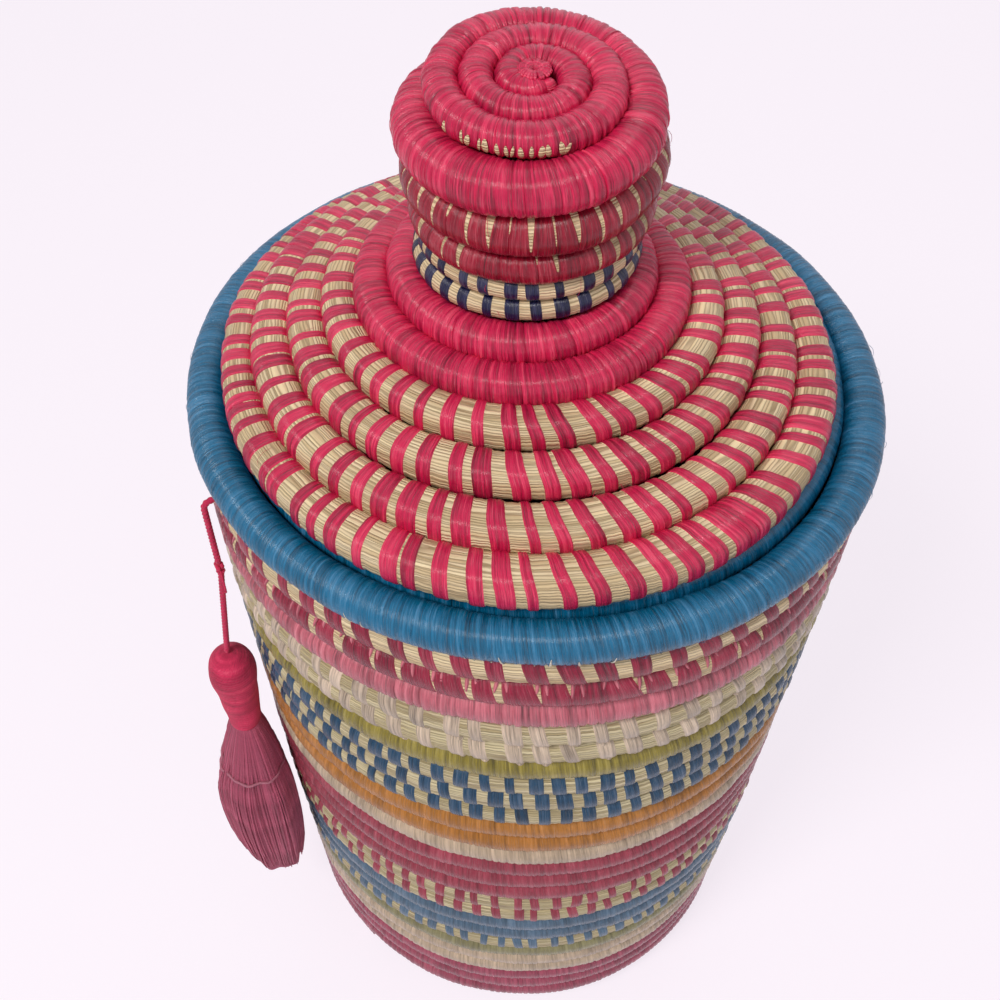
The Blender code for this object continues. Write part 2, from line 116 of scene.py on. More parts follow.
class BasketColours(bpy.types.PropertyGroup):
    """Colours of the straw, the dyed raffia and the stage."""

    straw: colour("Straw", "Bare straw of the bundle", 232, 205, 160)
    pale_straw: colour("Pale straw", "Bare straw between the blue checks", 206, 190, 146)
    pink: colour("Pink", "Raffia of the lid and the knob", 200, 28, 76)
    # Deep pink is a deep crimson dye painted darker still with the shade that the knob's shoulder
    # casts on its rows
    deep_pink: colour("Deep pink", "Raffia of the two rows under the knob's shoulder", 146, 6, 40)
    # Dark pink is a dark pink dye painted darker still with the shade that the rim casts on the
    # rows under it
    dark_pink: colour("Dark pink", "Raffia of the row under the rim", 142, 18, 52)
    light_pink: colour("Light pink", "Raffia of the third row", 188, 98, 112)
    natural: colour("Natural", "Undyed raffia", 194, 174, 154)
    cream: colour("Cream", "Raffia of the plain pale rows", 192, 170, 146)
    olive: colour("Olive", "Raffia of the olive row", 140, 126, 48)
    olive_grey: colour("Olive grey", "Raffia of the row under the small checks", 140, 134, 96)
    check_blue: colour("Check blue", "Raffia of the blue checks", 14, 62, 92)
    blue_grey: colour("Blue grey", "Raffia of the two blue-grey rows", 84, 108, 130)
    tan: colour("Tan", "Raffia of the two tan rows", 176, 116, 52)
    plum: colour("Plum pink", "Raffia of the three dull pink rows", 154, 62, 78)
    foot_pink: colour("Foot pink", "Raffia of the lowest rows", 160, 74, 94)
    blue: colour("Rim blue", "Raffia of the rim and the lid's edge", 0, 101, 141)
    navy: colour("Navy", "Raffia of the knob's checks", 10, 16, 60)
    tassel: colour("Tassel pink", "Threads of the tassel's cord and head", 212, 48, 90)
    skirt: colour("Skirt pink", "Threads of the tassel's skirt", 186, 84, 112)
    tie: colour("Tie", "Pale thread tied round the skirt", 186, 116, 134)
    pale_fibre: colour("Pale fibre", "Loose undyed fibres", 206, 196, 180)
    ground: colour("Ground", "Floor and background", 249, 241, 249)


def smooth(share):
    share = np.clip(share, 0.0, 1.0)
    return share * share * (3 - 2 * share)


def at_keys(value, keys):
    """Reads a table of places and what holds there, straight between its rows."""
    return np.interp(value, *zip(*keys))


def columns(turn, *values):
    """The values as one column each, as long as the column of turns."""
    return tuple(value + 0 * turn for value in values)


class Coil:
    """One long coil as tables by turn, from which any place on it is read."""

    STEP = 0.004
    # Where turn 0 lies in degrees, and which way round the coil goes on from there
    START_AZIMUTH = 47.0
    DIRECTION = 1
    # By turn, which way the seen face looks, in degrees above straight out
    CREST = ((0, 0.0),)
    # By turn, the power of the section's outline: 2 for an ellipse, more for a fuller one
    BULGE = ((0, 2.0),)
    # The basket is a little out of round, widest at this azimuth and across from it
    OVAL = 0.012
    WIDEST = math.radians(-35)
    # Relief over the section's top and foot, as a share of that at its side
    UPWARD_RELIEF = 0.6

    def __init__(self, first, last):
        self.turns = np.arange(first, last + self.STEP, self.STEP)
        self.radius, self.height, self.deep, self.tall, self.lean = self.tabulate(self.turns)
        self.crest = at_keys(self.turns, self.CREST)
        flat_steps = np.diff(self.turns) * 2 * np.pi * (self.radius[1:] + self.radius[:-1]) / 2
        self.length = np.concatenate(([0], np.cumsum(flat_steps)))

    def along(self, turn):
        return np.interp(turn, self.turns, self.length)

    def turn_at(self, along):
        return np.interp(along, self.length, self.turns)

    def crest_at(self, turn):
        return np.interp(turn, self.turns, self.crest)

    def azimuth(self, turn):
        return np.radians(self.START_AZIMUTH + self.DIRECTION * 360 * turn)

    def surface(self, along, angle, raised):
        """Points on the coil's surface: angle is 0 outwards and 90 upwards in its section."""
        turn = self.turn_at(along)
        radius, height, deep, tall, lean = (
            np.interp(turn, self.turns, column)
            for column in (self.radius, self.height, self.deep, self.tall, self.lean)
        )
        azimuth = self.azimuth(turn)
        radius, height, deep, tall = self.shaped(turn, azimuth, radius, height, deep, tall)
        power = 2 / at_keys(turn, self.BULGE)
        across, upward = (
            np.sign(part) * np.abs(part) ** power * half
            for part, half in (
                (np.cos(angle), deep + raised),
                (np.sin(angle), tall + self.UPWARD_RELIEF * raised),
            )
        )
        reach = (radius + across) * (1 + self.OVAL * np.cos(2 * (azimuth - self.WIDEST)))
        return np.stack(
            [reach * np.cos(azimuth) + lean, reach * np.sin(azimuth), height + upward], axis=-1
        )

    def shaped(self, turn, azimuth, radius, height, deep, tall):
        """What depends on the direction as well as on the turn."""
        return radius, height, deep, tall


class WallCoil(Coil):
    """The 26 rows of the body, rising from the foot to under the rim."""

    BULGE = ((0, 2.4),)
    ROWS = 26
    # Share of a turn in which the coil climbs to the next row
    CLIMB = 1 / 3
    ROW_GAP = 0.0005
    FIRST = 0.11
    LAST = 26.26
    # The rows lie this much lower, but for those at the rim and toward the foot
    DROP = 3.0 * MM
    RIM_REACH = 0.045
    FADE = 0.12
    # Between the rim and its reach the rows are taller, to stay closed
    TALLER = 0.35 * MM
    # The wall is drawn in toward its foot, from this height down
    FOOT_DRAW = 0.0018
    DRAWN_BELOW = 0.13

    def __init__(self, sizes):
        self.sizes = sizes
        self.foot = sizes.base_thickness + self.ROW_GAP
        self.ceiling = sizes.rim_height - FLAT * sizes.rim_coil / 2 - self.ROW_GAP
        self.pitch = (self.ceiling - self.foot + self.ROW_GAP) / self.ROWS
        super().__init__(self.FIRST, self.LAST)

    def outside(self, height):
        sizes = self.sizes
        share = 1 - height / sizes.rim_height
        return sizes.rim_radius - sizes.rim_overhang - sizes.wall_taper * share

    def tabulate(self, turn):
        row = self.pitch - self.ROW_GAP
        whole = np.floor(turn)
        climb = smooth((turn - whole) / self.CLIMB)
        thin = self.pitch * climb - self.ROW_GAP
        leaving = row - self.pitch * smooth((turn - self.ROWS) / self.CLIMB)
        thickness = np.where(whole < 1, thin, np.where(whole < self.ROWS, row, leaving))
        rising = self.foot + row / 2 + self.pitch * (whole - 1 + climb)
        height = np.where(
            whole < 1,
            self.foot + thickness / 2,
            np.where(whole < self.ROWS, rising, self.ceiling - thickness / 2),
        )
        section = thickness / (2 * FLAT)
        radius = self.outside(height) - section
        return radius, height, section - 0.1 * MM, thickness / 2 + 0.35 * MM, 0 * turn

    def shaped(self, turn, azimuth, radius, height, deep, tall):
        """The rows lie lower under the rim, and the foot is drawn in."""
        below_rim = smooth((self.ceiling - height) / self.RIM_REACH)
        drop = self.DROP * below_rim * smooth(height / self.FADE)
        taller = self.TALLER * (below_rim > 0) * (1 - below_rim)
        drawn_in = self.FOOT_DRAW * smooth((self.DRAWN_BELOW - height) / self.FADE)
        return radius - drawn_in, height - drop, deep, tall + taller


class LidCoil(Coil):
    """The lid's coil, from the eye of the knob down and out to the blue edge."""

    ROW_GAP = 0.0005
    DOME_GAP = 0.0008
    # How far the edge's middle lies above the rim's, and how far the two are apart
    EDGE_RISE = 0.0012
    LID_CLEARANCE = 0.00035
    # Thickness of the rows under the knob's shoulder
    NAVY_ROW = 0.0067
    LOWER_PINK_ROW = 0.0092
    UPPER_PINK_ROW = 0.0126
    EYE_RADIUS = 0.0034
    # Where the knob's outer ring lies in from its shoulder and above it, as shares of sections
    RING_INSET = 0.7388
    RING_RISE = 0.6953
    # The knob leans this way in x, and its rows lie this much higher at the back
    LEAN = -0.0031
    BACK_RISE = 0.0056
    # The outer rows of the dome swell out a little over the rim on this side
    SWELL = 0.0042
    SWELL_AZIMUTH = math.radians(272)
    START_AZIMUTH = 287.0
    DIRECTION = -1
    CREST = (
        (1, 88), (3, 84), (3.6, 72), (4.2, 36), (5, 4), (8.2, 0), (9, 38), (10, 52),
        (11, 58), (14, 62), (14.7, 72), (16, 72),
    )
    BULGE = ((9, 2.15), (10.5, 2.6), (14.4, 2.6), (14.7, 2.1))
    FIRST = 15 / 18
    LAST = 15 + 12 / 18

    def __init__(self, sizes):
        self.sizes = sizes
        self.edge = sizes.edge_coil / (2 * FLAT)
        self.collar = sizes.collar_coil / (2 * FLAT)
        rim_inside = sizes.rim_radius - sizes.rim_coil
        seat = rim_inside + self.EDGE_RISE * math.tan(math.radians(30))
        self.edge_radius = seat - self.LID_CLEARANCE / FLAT - self.edge
        self.collar_radius = sizes.collar_radius - self.collar
        self.last_radius = self.edge_radius - 0.0042
        self.last_row = self.section(self.dome_radius(13), self.dome_radius(14))
        self.keys = np.array(self.dome_keys(self.knob_keys()))
        super().__init__(self.FIRST, self.LAST)

    @staticmethod
    def stack(upper, lower, gap=ROW_GAP):
        return FLAT * (upper + lower) + gap

    def section(self, inner, outer):
        apart = FLAT * (outer - inner) + self.sizes.dome_rise / 8
        return (apart - self.DOME_GAP) / (2 * FLAT)

    def dome_radius(self, turn):
        share = (turn - 10) / 4
        spread = 0.9 * share + 0.1 * share**2
        return self.collar_radius + spread * (self.last_radius - self.collar_radius)

    def knob_keys(self):
        """Turn, radius, height above the rim's middle and section radius down to the collar."""
        sizes, stack, collar = self.sizes, self.stack, self.collar
        rows = (self.NAVY_ROW, self.LOWER_PINK_ROW, self.UPPER_PINK_ROW, sizes.shoulder_coil)
        navy, lower, upper, shoulder = (row / (2 * FLAT) for row in rows)
        neck = sizes.neck_radius - navy
        shoulder_radius = self.shoulder_radius = sizes.knob_radius - shoulder
        inner_collar = sizes.neck_radius + 0.0007
        across = FLAT * (self.collar_radius - inner_collar)
        high = {10: self.EDGE_RISE + stack(self.last_row, self.edge) + sizes.dome_rise}
        high[9] = high[10] + 2 * (stack(collar, collar, self.DOME_GAP) - across)
        high[8] = high[9] + stack(navy, collar)
        high[7] = high[8] + stack(navy, navy)
        high[6] = high[7] + stack(lower, navy)
        high[5] = high[6] + stack(upper, lower)
        high[4] = high[5] + stack(shoulder, upper)
        room = shoulder_radius - self.EYE_RADIUS - self.RING_INSET * shoulder - 2 * self.ROW_GAP
        ring = room / (4 + self.RING_INSET)
        ring_pitch = 2 * ring + self.ROW_GAP
        ring_radius = self.EYE_RADIUS + 2 * ring_pitch
        top = high[4] + self.RING_RISE * (ring + shoulder)
        return [
            (0.8, 0.35 * self.EYE_RADIUS, top, 0.62 * ring),
            (1, self.EYE_RADIUS, top, 0.88 * ring),
            (1.5, self.EYE_RADIUS + ring_pitch / 2, top, ring),
            (2, self.EYE_RADIUS + ring_pitch, top, ring),
            (3, ring_radius, top - 0.0004, ring),
            (3.5, shoulder_radius - 0.0037, top - 0.0022, 0.69 * shoulder),
            (4, shoulder_radius, high[4], shoulder),
            (4.5, shoulder_radius, (high[4] + high[5]) / 2, 0.97 * shoulder),
            (5, sizes.knob_radius - 0.0015 - upper, high[5], upper),
            (6, sizes.knob_radius - 0.0030 - lower, high[6], lower),
            (7, neck, high[7], navy),
            (8, neck, high[8], navy),
            (8.25, neck + 0.0005, 0.77 * high[8] + 0.23 * high[9], 0.66 * collar),
            (8.5, neck + 0.0018, 0.5 * high[8] + 0.5 * high[9], 0.78 * collar),
            (9, inner_collar, high[9], collar),
            (10, self.collar_radius, high[10], collar),
        ]

    def dome_keys(self, keys):
        height = keys[-1][2]
        for turn in (11, 12, 13, 14):
            height -= self.sizes.dome_rise / 4
            radius = self.dome_radius(turn)
            keys.append((turn, radius, height, self.section(self.dome_radius(turn - 1), radius)))
        edge, last, rise = self.edge, self.last_row, self.EDGE_RISE
        return keys + [
            (14.25, self.last_radius + 0.0022, height - 0.0007, 0.82 * last),
            (14.5, self.last_radius + 0.0041, height - 0.0024, 0.66 * last),
            (14.7, self.edge_radius + 0.0007, rise + 0.0038, edge),
            (14.85, self.edge_radius, rise + 0.0005, edge),
            (15, self.edge_radius, rise, edge),
            (15.25, self.edge_radius, rise, 0.97 * edge),
            (15.5, self.edge_radius, rise - 0.0002, 0.93 * edge),
            (15.6, self.edge_radius, rise - 0.0012, 0.62 * edge),
            (15.7, self.edge_radius, rise - 0.0026, 0.33 * edge),
        ]

    def tabulate(self, turn):
        """Reads the keys along a smooth curve through them."""
        keys, last = self.keys, len(self.keys) - 1
        index = np.clip(np.searchsorted(keys[:, 0], turn, side="right") - 1, 0, last - 1)
        before, start, end, after = (
            keys[np.clip(index + step, 0, last)] for step in (-1, 0, 1, 2)
        )
        span = (end[:, 0] - start[:, 0])[:, None]
        share = (turn - start[:, 0])[:, None] / span
        enter = (end - before) / (end[:, :1] - before[:, :1]) * span
        leave = (after - start) / (after[:, :1] - start[:, :1]) * span
        rise = end - start
        found = (
            start
            + share * enter
            + share**2 * (3 * rise - 2 * enter - leave)
            + share**3 * (enter + leave - 2 * rise)
        )
        _, radius, height, section = found.T
        lean = self.LEAN * (1 - 0.6 * np.clip((turn - 8) / 6, 0, 1))
        lean = lean * (1 - smooth((turn - 14.3) / 0.4))
        half = np.where(turn < 3.2, section + 0.2 * MM, FLAT * section + 0.3 * MM)
        deep = np.where((turn > 3.6) & (turn < 8.3), section - 0.1 * MM, half)
        deep = np.where((turn > 2.4) & (turn < 3.6), deep + 0.5 * MM, deep)
        deep = np.where(turn > 14.6, FLAT * section, deep)
        tall = np.where(turn > 14.6, FLAT * section + 0.5 * MM, half)
        return radius, self.sizes.rim_height + height, deep, tall, lean

    def shaped(self, turn, azimuth, radius, height, deep, tall):
        """The knob's rows lie higher at the back, and the dome swells at the front."""
        back = (1 + radius * np.sin(azimuth) / self.shoulder_radius) / 2
        share = np.clip((8.5 - turn) / 5, 0, 1)
        height = height + self.BACK_RISE * share * back
        between_knob_rows = (turn > 3.4) & (turn < 8.6)
        tall = tall + np.where(between_knob_rows, self.BACK_RISE / 10 * back, 0)
        radius = radius + 0.8 * MM * smooth((turn - 4.1) / 0.5) * (1 - smooth((turn - 6) / 0.6))
        outer = smooth((turn - 11) / 3) * (1 - smooth((turn - 14.3) / 0.3))
        swell = outer * np.maximum(np.cos(azimuth - self.SWELL_AZIMUTH), 0) ** 1.4
        deep = deep + 0.13 * self.SWELL * swell
        tall = tall + 0.06 * self.SWELL * swell
        return radius + self.SWELL * swell, height, deep, tall


class RimCoil(Coil):
    """The single thick row on top of the wall."""

    CREST = ((0, 30.0),)

    def __init__(self, sizes):
        self.sizes = sizes
        super().__init__(0, 1)

    def tabulate(self, turn):
        half = self.sizes.rim_coil / 2
        radius = self.sizes.rim_radius - half
        return columns(turn, radius, self.sizes.rim_height, half - 0.1 * MM, half - 0.25 * MM, 0)


class BaseCoil(Coil):
    """The flat spiral under the basket, from its middle out."""

    CREST = ((0, -90.0),)
    BULGE = ((0, 2.9),)
    FIRST = 0.06
    TURNS = 8.5

    def __init__(self, sizes):
        foot_radius = sizes.rim_radius - sizes.rim_overhang - sizes.wall_taper
        self.pitch = (foot_radius - sizes.base_inset) / (self.TURNS + 0.5)
        self.half = sizes.base_thickness / 2
        super().__init__(0.0, self.TURNS)

    def tabulate(self, turn):
        radius, half = self.pitch * (turn + 0.05), self.half
        return columns(turn, radius, half, self.pitch / 2 + 0.2 * MM, half - 0.25 * MM, 0)


class Wrap:
    """How raffia goes round a coil, with its lengths in millimetres."""

    # Stitches to a turn, where those of one row stand in line with those of the next
    per_turn = None
    straw = "straw"
    offset = 0.0
    relief = 0.32
    # How much the places of the stitches vary, and their widths
    uneven = 0.07
    loose = 0.14
    # Share of the gaps that are shut, and the turn from which they are
    closed = 0.0
    closed_from = 0.0
    # Share of the stitches that have another close by
    doubled = 0.0

    def __init__(self, dye, spacing, widths=None, slant=0.0, **others):
        """Widths: of a stitch at the row's top, middle and foot, or None where no straw shows."""
        self.dye = dye
        self.spacing = spacing
        self.widths = widths
        # How far a stitch's foot lies along the coil from its top
        self.slant = slant
        vars(self).update(others)


# Rings of a stitch, of the straw beside it and of a covered bundle: where each ring lies, and
# its height as a share of the wrap's relief
STITCH_RINGS = (
    (-1, 0.05), (-0.84, 0.72), (-0.45, 1.0), (-0.06, 0.80), (0.36, 1.0), (0.82, 0.74), (1, 0.05),
)
STRAW_RINGS = ((0.12, -0.55), (0.5, -0.2), (0.88, -0.55))
BUNDLE_RINGS = ((0.0, -0.35), (0.28, 0.5), (0.72, 0.55))
# The narrowest gap, the one that still hides its straw, and the one with its straw at full depth
LEAST_GAP, HIDDEN_GAP, FULL_GAP = 0.02 * MM, 0.15 * MM, 1.2 * MM
# Angles round the section, close together on the side that is seen
FACE_SPREAD = 112
SECTION = np.radians(
    np.concatenate(
        (
            np.linspace(-FACE_SPREAD, FACE_SPREAD, 16),
            np.linspace(FACE_SPREAD, 360 - FACE_SPREAD, 7)[1:],
        )
    )
)
# -1 at the upper or inner crease, 1 at the lower or outer one
DOWN = -np.sin(SECTION)
WHOLE_RING = np.full(len(SECTION), True)


def waves(draw, along, longest=0.09, height=0.16 * MM):
    """A slow unevenness along a coil."""
    total = np.zeros_like(along)
    for _ in range(4):
        length = longest * draw.uniform(0.25, 1.0)
        total += np.sin(along / length * 2 * np.pi + draw.uniform(0, 6.3))
    return height * total / 2


def stitch_places(coil, first, last, wrap, draw):
    """Where each stitch's middle lies along the coil, in metres."""
    spacing = wrap.spacing * MM
    if wrap.per_turn:
        low = math.floor(first * wrap.per_turn) - 1
        high = math.ceil(last * wrap.per_turn) + 1
        places = coil.along((np.arange(low, high) + 0.5 + wrap.offset) / wrap.per_turn)
    else:
        places = np.arange(coil.along(first) - spacing, coil.along(last) + spacing, spacing)
    places = places[np.concatenate(([True], np.diff(places) > 1e-6))]
    places = places + draw.normal(0, wrap.uneven * spacing, len(places))
    doubles = places[draw.uniform(0, 1, len(places)) < wrap.doubled] + 0.5 * spacing
    return np.sort(np.concatenate((places, doubles)))


def bundle_rings(coil, wrap, places, middle, tones, draw):
    """Rings of a coil that its raffia hides: line, relief, place, faces of raffia and tone."""
    count = len(places)
    step = np.diff(places, append=places[-1] + wrap.spacing * MM)
    lift = (1 + draw.normal(0, 0.45, count)).clip(0.2, 2.2)
    groove = draw.uniform(0.1, 2.0, count)
    onward = np.concatenate((middle[1:], middle[-1:] + step[-1])) - middle
    return [
        (
            middle[k] + share * onward[k],
            np.full(len(SECTION), relief * wrap.relief * (groove[k] if relief < 0 else lift[k])),
            places[k] + share * step[k],
            WHOLE_RING,
            tones[k],
        )
        for k in range(count)
        for share, relief in BUNDLE_RINGS
    ]


def stitch_rings(coil, wrap, places, middle, tones, draw):
    """Rings of stitches with bare straw between them, as bundle_rings has them."""
    count = len(places)
    top, mid, foot = (width / 2 * MM for width in wrap.widths)
    half = mid + (foot - top) / 2 * DOWN + ((foot + top) / 2 - mid) * DOWN**2
    half = half[None] * (1 + draw.normal(0, wrap.loose, count).clip(-0.35, 0.35))[:, None]
    left, right = middle - half, middle + half
    gap_middle = (right[:-1] + left[1:]) / 2
    shut = wrap.closed * (coil.turn_at(places[1:]) > wrap.closed_from)
    still_open = draw.uniform(0, 1, count - 1) >= shut
    room = np.maximum(left[1:] - right[:-1], 0) * still_open[:, None]
    room = np.maximum(room, LEAST_GAP)
    right[:-1], left[1:] = gap_middle - room / 2, gap_middle + room / 2
    middle, half = (left + right) / 2, (right - left) / 2
    rows = []
    for k in range(count):
        before_gap = k + 1 < count
        for share, relief in STITCH_RINGS:
            hidden = room[k] < HIDDEN_GAP if share == 1 and before_gap else WHOLE_RING
            height = np.full(len(SECTION), relief * wrap.relief)
            place = places[k] + share * half[k].mean()
            rows.append((middle[k] + share * half[k], height, place, hidden, tones[k]))
        for share, relief in STRAW_RINGS if before_gap else ():
            height = relief * wrap.relief * np.minimum(room[k] / FULL_GAP, 1)
            place = places[k] + half[k].mean() + share * room[k].mean()
            rows.append(
                (right[k] + share * room[k], height, place, room[k] < HIDDEN_GAP, tones[k])
            )
    return rows


def wrapped_coil(name, coil, first, last, wrap, seed, slants=None):
    """One stretch of coil with its raffia, as a closed tube whose faces know straw from raffia."""
    draw = np.random.default_rng(seed)
    places = stitch_places(coil, first, last, wrap, draw)
    slant = np.full(len(places), wrap.slant) * MM
    if slants:
        slant = at_keys(np.degrees(coil.azimuth(coil.turn_at(places))) % 360, slants) * MM
    varied = 0.10 * wrap.spacing * MM * min(1, abs(wrap.slant) + 0.3)
    slant = slant + draw.normal(0, varied, len(places))
    middle = places[:, None] + coil.DIRECTION * slant[:, None] / 2 * DOWN[None]
    tones = draw.uniform(0, 1, len(places))
    lay = bundle_rings if wrap.widths is None else stitch_rings
    rings, reliefs, flat, stitched, tone = (
        np.array(column) for column in zip(*lay(coil, wrap, places, middle, tones, draw))
    )
    start, stop = coil.along(first), coil.along(last)
    inside = (rings.max(axis=1) > start) & (rings.min(axis=1) < stop)
    low, high = np.flatnonzero(inside)[[0, -1]]
    keep = slice(max(low - 1, 0), min(high + 1, len(rings) - 1) + 1)
    rings = np.clip(np.maximum.accumulate(rings[keep], axis=0), start, stop)
    flat, stitched, tone = flat[keep], stitched[keep], tone[keep]
    raised = reliefs[keep] * MM + waves(draw, flat)[:, None]
    angle = SECTION[None] + np.radians(coil.crest_at(coil.turn_at(flat)))[:, None]
    points = coil.surface(*(np.hstack((table, table[:, :1])) for table in (rings, angle, raised)))
    girth = np.interp(coil.turn_at(flat), coil.turns, coil.deep + coil.tall).mean() / 2
    turned = np.append(SECTION, SECTION[0] + 2 * math.pi)
    flat_map = mapped(flat[:, None], turned[None] * girth)
    return rolled(name, points, flat_map, tone[:-1], stitched[:-1])


def mapped(along, around):
    """A tube's flat map in millimetres, from two tables in metres."""
    return np.stack(np.broadcast_arrays(along / MM, around / MM), axis=-1)


def even(points, step):
    """The same line with points a step apart."""
    points = np.asarray(points, float)
    lengths = np.concatenate(([0], np.cumsum(np.linalg.norm(np.diff(points, axis=0), axis=1))))
    count = max(int(round(lengths[-1] / step)), 2) + 1
    places = np.linspace(0, lengths[-1], count)
    return np.stack([np.interp(places, lengths, column) for column in points.T], axis=-1), places


def rounded(points, times=1):
    """The same line with its corners cut."""
    points = np.asarray(points, float)
    for _ in range(times):
        near = 0.75 * points[:-1] + 0.25 * points[1:]
        far = 0.25 * points[:-1] + 0.75 * points[1:]
        middle = np.stack((near, far), axis=1).reshape(-1, 3)
        points = np.concatenate((points[:1], middle, points[-1:]))
    return points


def thread(name, points, thickness, step, sides=10, strands=0, pitch=1.0, ends=0.35, tone=0.5):
    """A round thread along a line, or a cord twisted from strands."""
    line, places = even(points, step)
    along = np.gradient(line, axis=0)
    along /= np.linalg.norm(along, axis=1)[:, None]
    side = np.cross(along[0], (0.31, 0.17, 0.93))
    sides_of = []
    for direction in along:
        side = side - side.dot(direction) * direction
        side = side / np.linalg.norm(side)
        sides_of.append(side)
    side = np.array(sides_of)
    other = np.cross(along, side)
    angle = np.linspace(0, 2 * math.pi, sides + 1)
    radius = np.full((len(line), sides + 1), thickness / 2)
    if strands:
        phase = strands / 2 * (angle[None] - 2 * math.pi * places[:, None] / pitch)
        radius *= 0.72 + 0.28 * np.abs(np.cos(phase))
    near_end = np.minimum(places, places[-1] - places) / (thickness / 2)
    radius *= (ends + (1 - ends) * np.sqrt(np.clip(near_end, 0, 1)))[:, None]
    around = np.cos(angle)[None, :, None] * side[:, None]
    around = around + np.sin(angle)[None, :, None] * other[:, None]
    points = line[:, None] + radius[:, :, None] * around
    return rolled(name, points, mapped(places[:, None], angle[None] * thickness / 2), tone)


def sliver(name, coil, place, low, high, width, lift=0.22, drift=0.0, tone=0.5):
    """A flat fibre on a coil, from one angle of its section to another, with pointed ends."""
    share = np.linspace(0, 1, 9)
    angle = np.radians(low + (high - low) * share) + np.radians(coil.crest_at(coil.turn_at(place)))
    taper = np.sin(np.pi * np.clip(share * 0.94 + 0.03, 0, 1)) ** 0.6
    across = np.array([-1, -0.5, 0.5, 1, 0.5, -0.5, -1]) * width / 2 * MM
    up = np.array([0, 1, 1, 0, -1, -1, 0]) * lift * MM
    along = place + drift * MM * share[:, None] + across[None] * taper[:, None]
    raised = (0.35 * lift * MM + up[None]) * taper[:, None] + 0.1 * MM
    points = coil.surface(along, np.repeat(angle[:, None], len(across), axis=1), raised)
    flat = np.stack(np.broadcast_arrays(across[None] / MM, share[:, None] * 6), axis=-1)
    return rolled(name, points, flat, tone)


def joined(name, things):
    """Makes one object of several."""
    deselect()
    for thing in things:
        thing.select_set(True)
    bpy.context.view_layer.objects.active = things[0]
    bpy.ops.object.join()
    return settle(name)


def settle(name):
    """Takes the object that was just added, by name, out of its mesh's old name."""
    thing = bpy.context.active_object
    thing.name = thing.data.name = name
    return thing


def deselect():
    bpy.ops.object.select_all(action="DESELECT")


def rolled(name, points, flat_map, tone=0.5, stitched=True):
    """A grid rolled into a closed tube: points by ring and by place round it, ends capped."""
    count, around = points.shape[:2]
    points[:, -1] = points[:, 0]
    tone = np.broadcast_to(tone, count - 1)
    stitched = np.broadcast_to(stitched, (count - 1, around - 1))
    deselect()
    bpy.ops.mesh.primitive_grid_add(
        x_subdivisions=count - 1, y_subdivisions=around - 1, size=2, calc_uvs=True
    )
    thing = settle(name)
    mesh = thing.data
    if len(mesh.vertices) != count * around:
        raise RuntimeError(f"{name}: the grid has {len(mesh.vertices)} points")
    flat, centres = np.empty((len(mesh.vertices), 3)), np.empty((len(mesh.polygons), 3))
    mesh.vertices.foreach_get("co", flat.ravel())
    mesh.polygons.foreach_get("center", centres.ravel())
    # From -1 to 1 across the grid, as counts of rings and of places round them
    last = np.array([count - 1, around - 1])
    ring, place = np.rint((flat[:, :2] + 1) / 2 * last).astype(int).T
    run, side = np.floor((centres[:, :2] + 1) / 2 * last).astype(int).T
    corner = np.empty(len(mesh.loops), int)
    mesh.loops.foreach_get("vertex_index", corner)
    layer = mesh.uv_layers[0]
    layer.name = "coil"
    layer.uv.foreach_set("vector", flat_map[ring[corner], place[corner]].ravel())
    mesh.vertices.foreach_set("co", points[ring, place].ravel())
    bare = np.where(stitched[run, side], 0, 1).astype(np.int32)
    mesh.polygons.foreach_set("material_index", bare)
    attribute = mesh.attributes.new("tone", "FLOAT", "FACE")
    attribute.data.foreach_set("value", tone[run].astype(np.float32))
    mesh.update()
    close_seams()
    bpy.ops.object.shade_smooth_by_angle(angle=math.radians(EDGE_ANGLE))
    return thing


def close_seams():
    bpy.ops.object.mode_set(mode="EDIT")
    bpy.ops.mesh.select_all(action="SELECT")
    bpy.ops.mesh.remove_doubles(threshold=SEAM)
    bpy.ops.mesh.fill_holes(sides=0)
    bpy.ops.mesh.select_all(action="SELECT")
    bpy.ops.mesh.normals_make_consistent(inside=False)
    bpy.ops.object.mode_set(mode="OBJECT")


class Nodes:
    """A node tree, filled one node at a time with its inputs."""

    def __init__(self, tree):
        self.tree = tree

    def node(self, kind, inputs=None, **settings):
        made = self.tree.nodes.new(kind)
        for key, value in settings.items():
            setattr(made, key, value)
        for key, value in (inputs or {}).items():
            self.feed(made.inputs[key], value)
        return made

    def feed(self, socket, value):
        if isinstance(value, bpy.types.NodeSocket):
            self.tree.links.new(value, socket)
        elif isinstance(value, bpy.types.Node):
            self.tree.links.new(value.outputs[0], socket)
        else:
            socket.default_value = value

    def maths(self, operation, first, second):
        return self.node("ShaderNodeMath", {0: first, 1: second}, operation=operation)

    def total(self, start, *parts):
        """The start with each part added, times its weight."""
        for part, weight in parts:
            inputs = {0: part, 1: weight, 2: start}
            start = self.node("ShaderNodeMath", inputs, operation="MULTIPLY_ADD")
        return start

    def seen_rays(self):
        """1 for rays that meet the surroundings from the camera, by a reflection or through."""
        path = self.node("ShaderNodeLightPath")
        seen = path.outputs["Is Camera Ray"]
        for name in ("Is Glossy Ray", "Is Transmission Ray"):
            seen = self.maths("MAXIMUM", seen, path.outputs[name])
        return seen


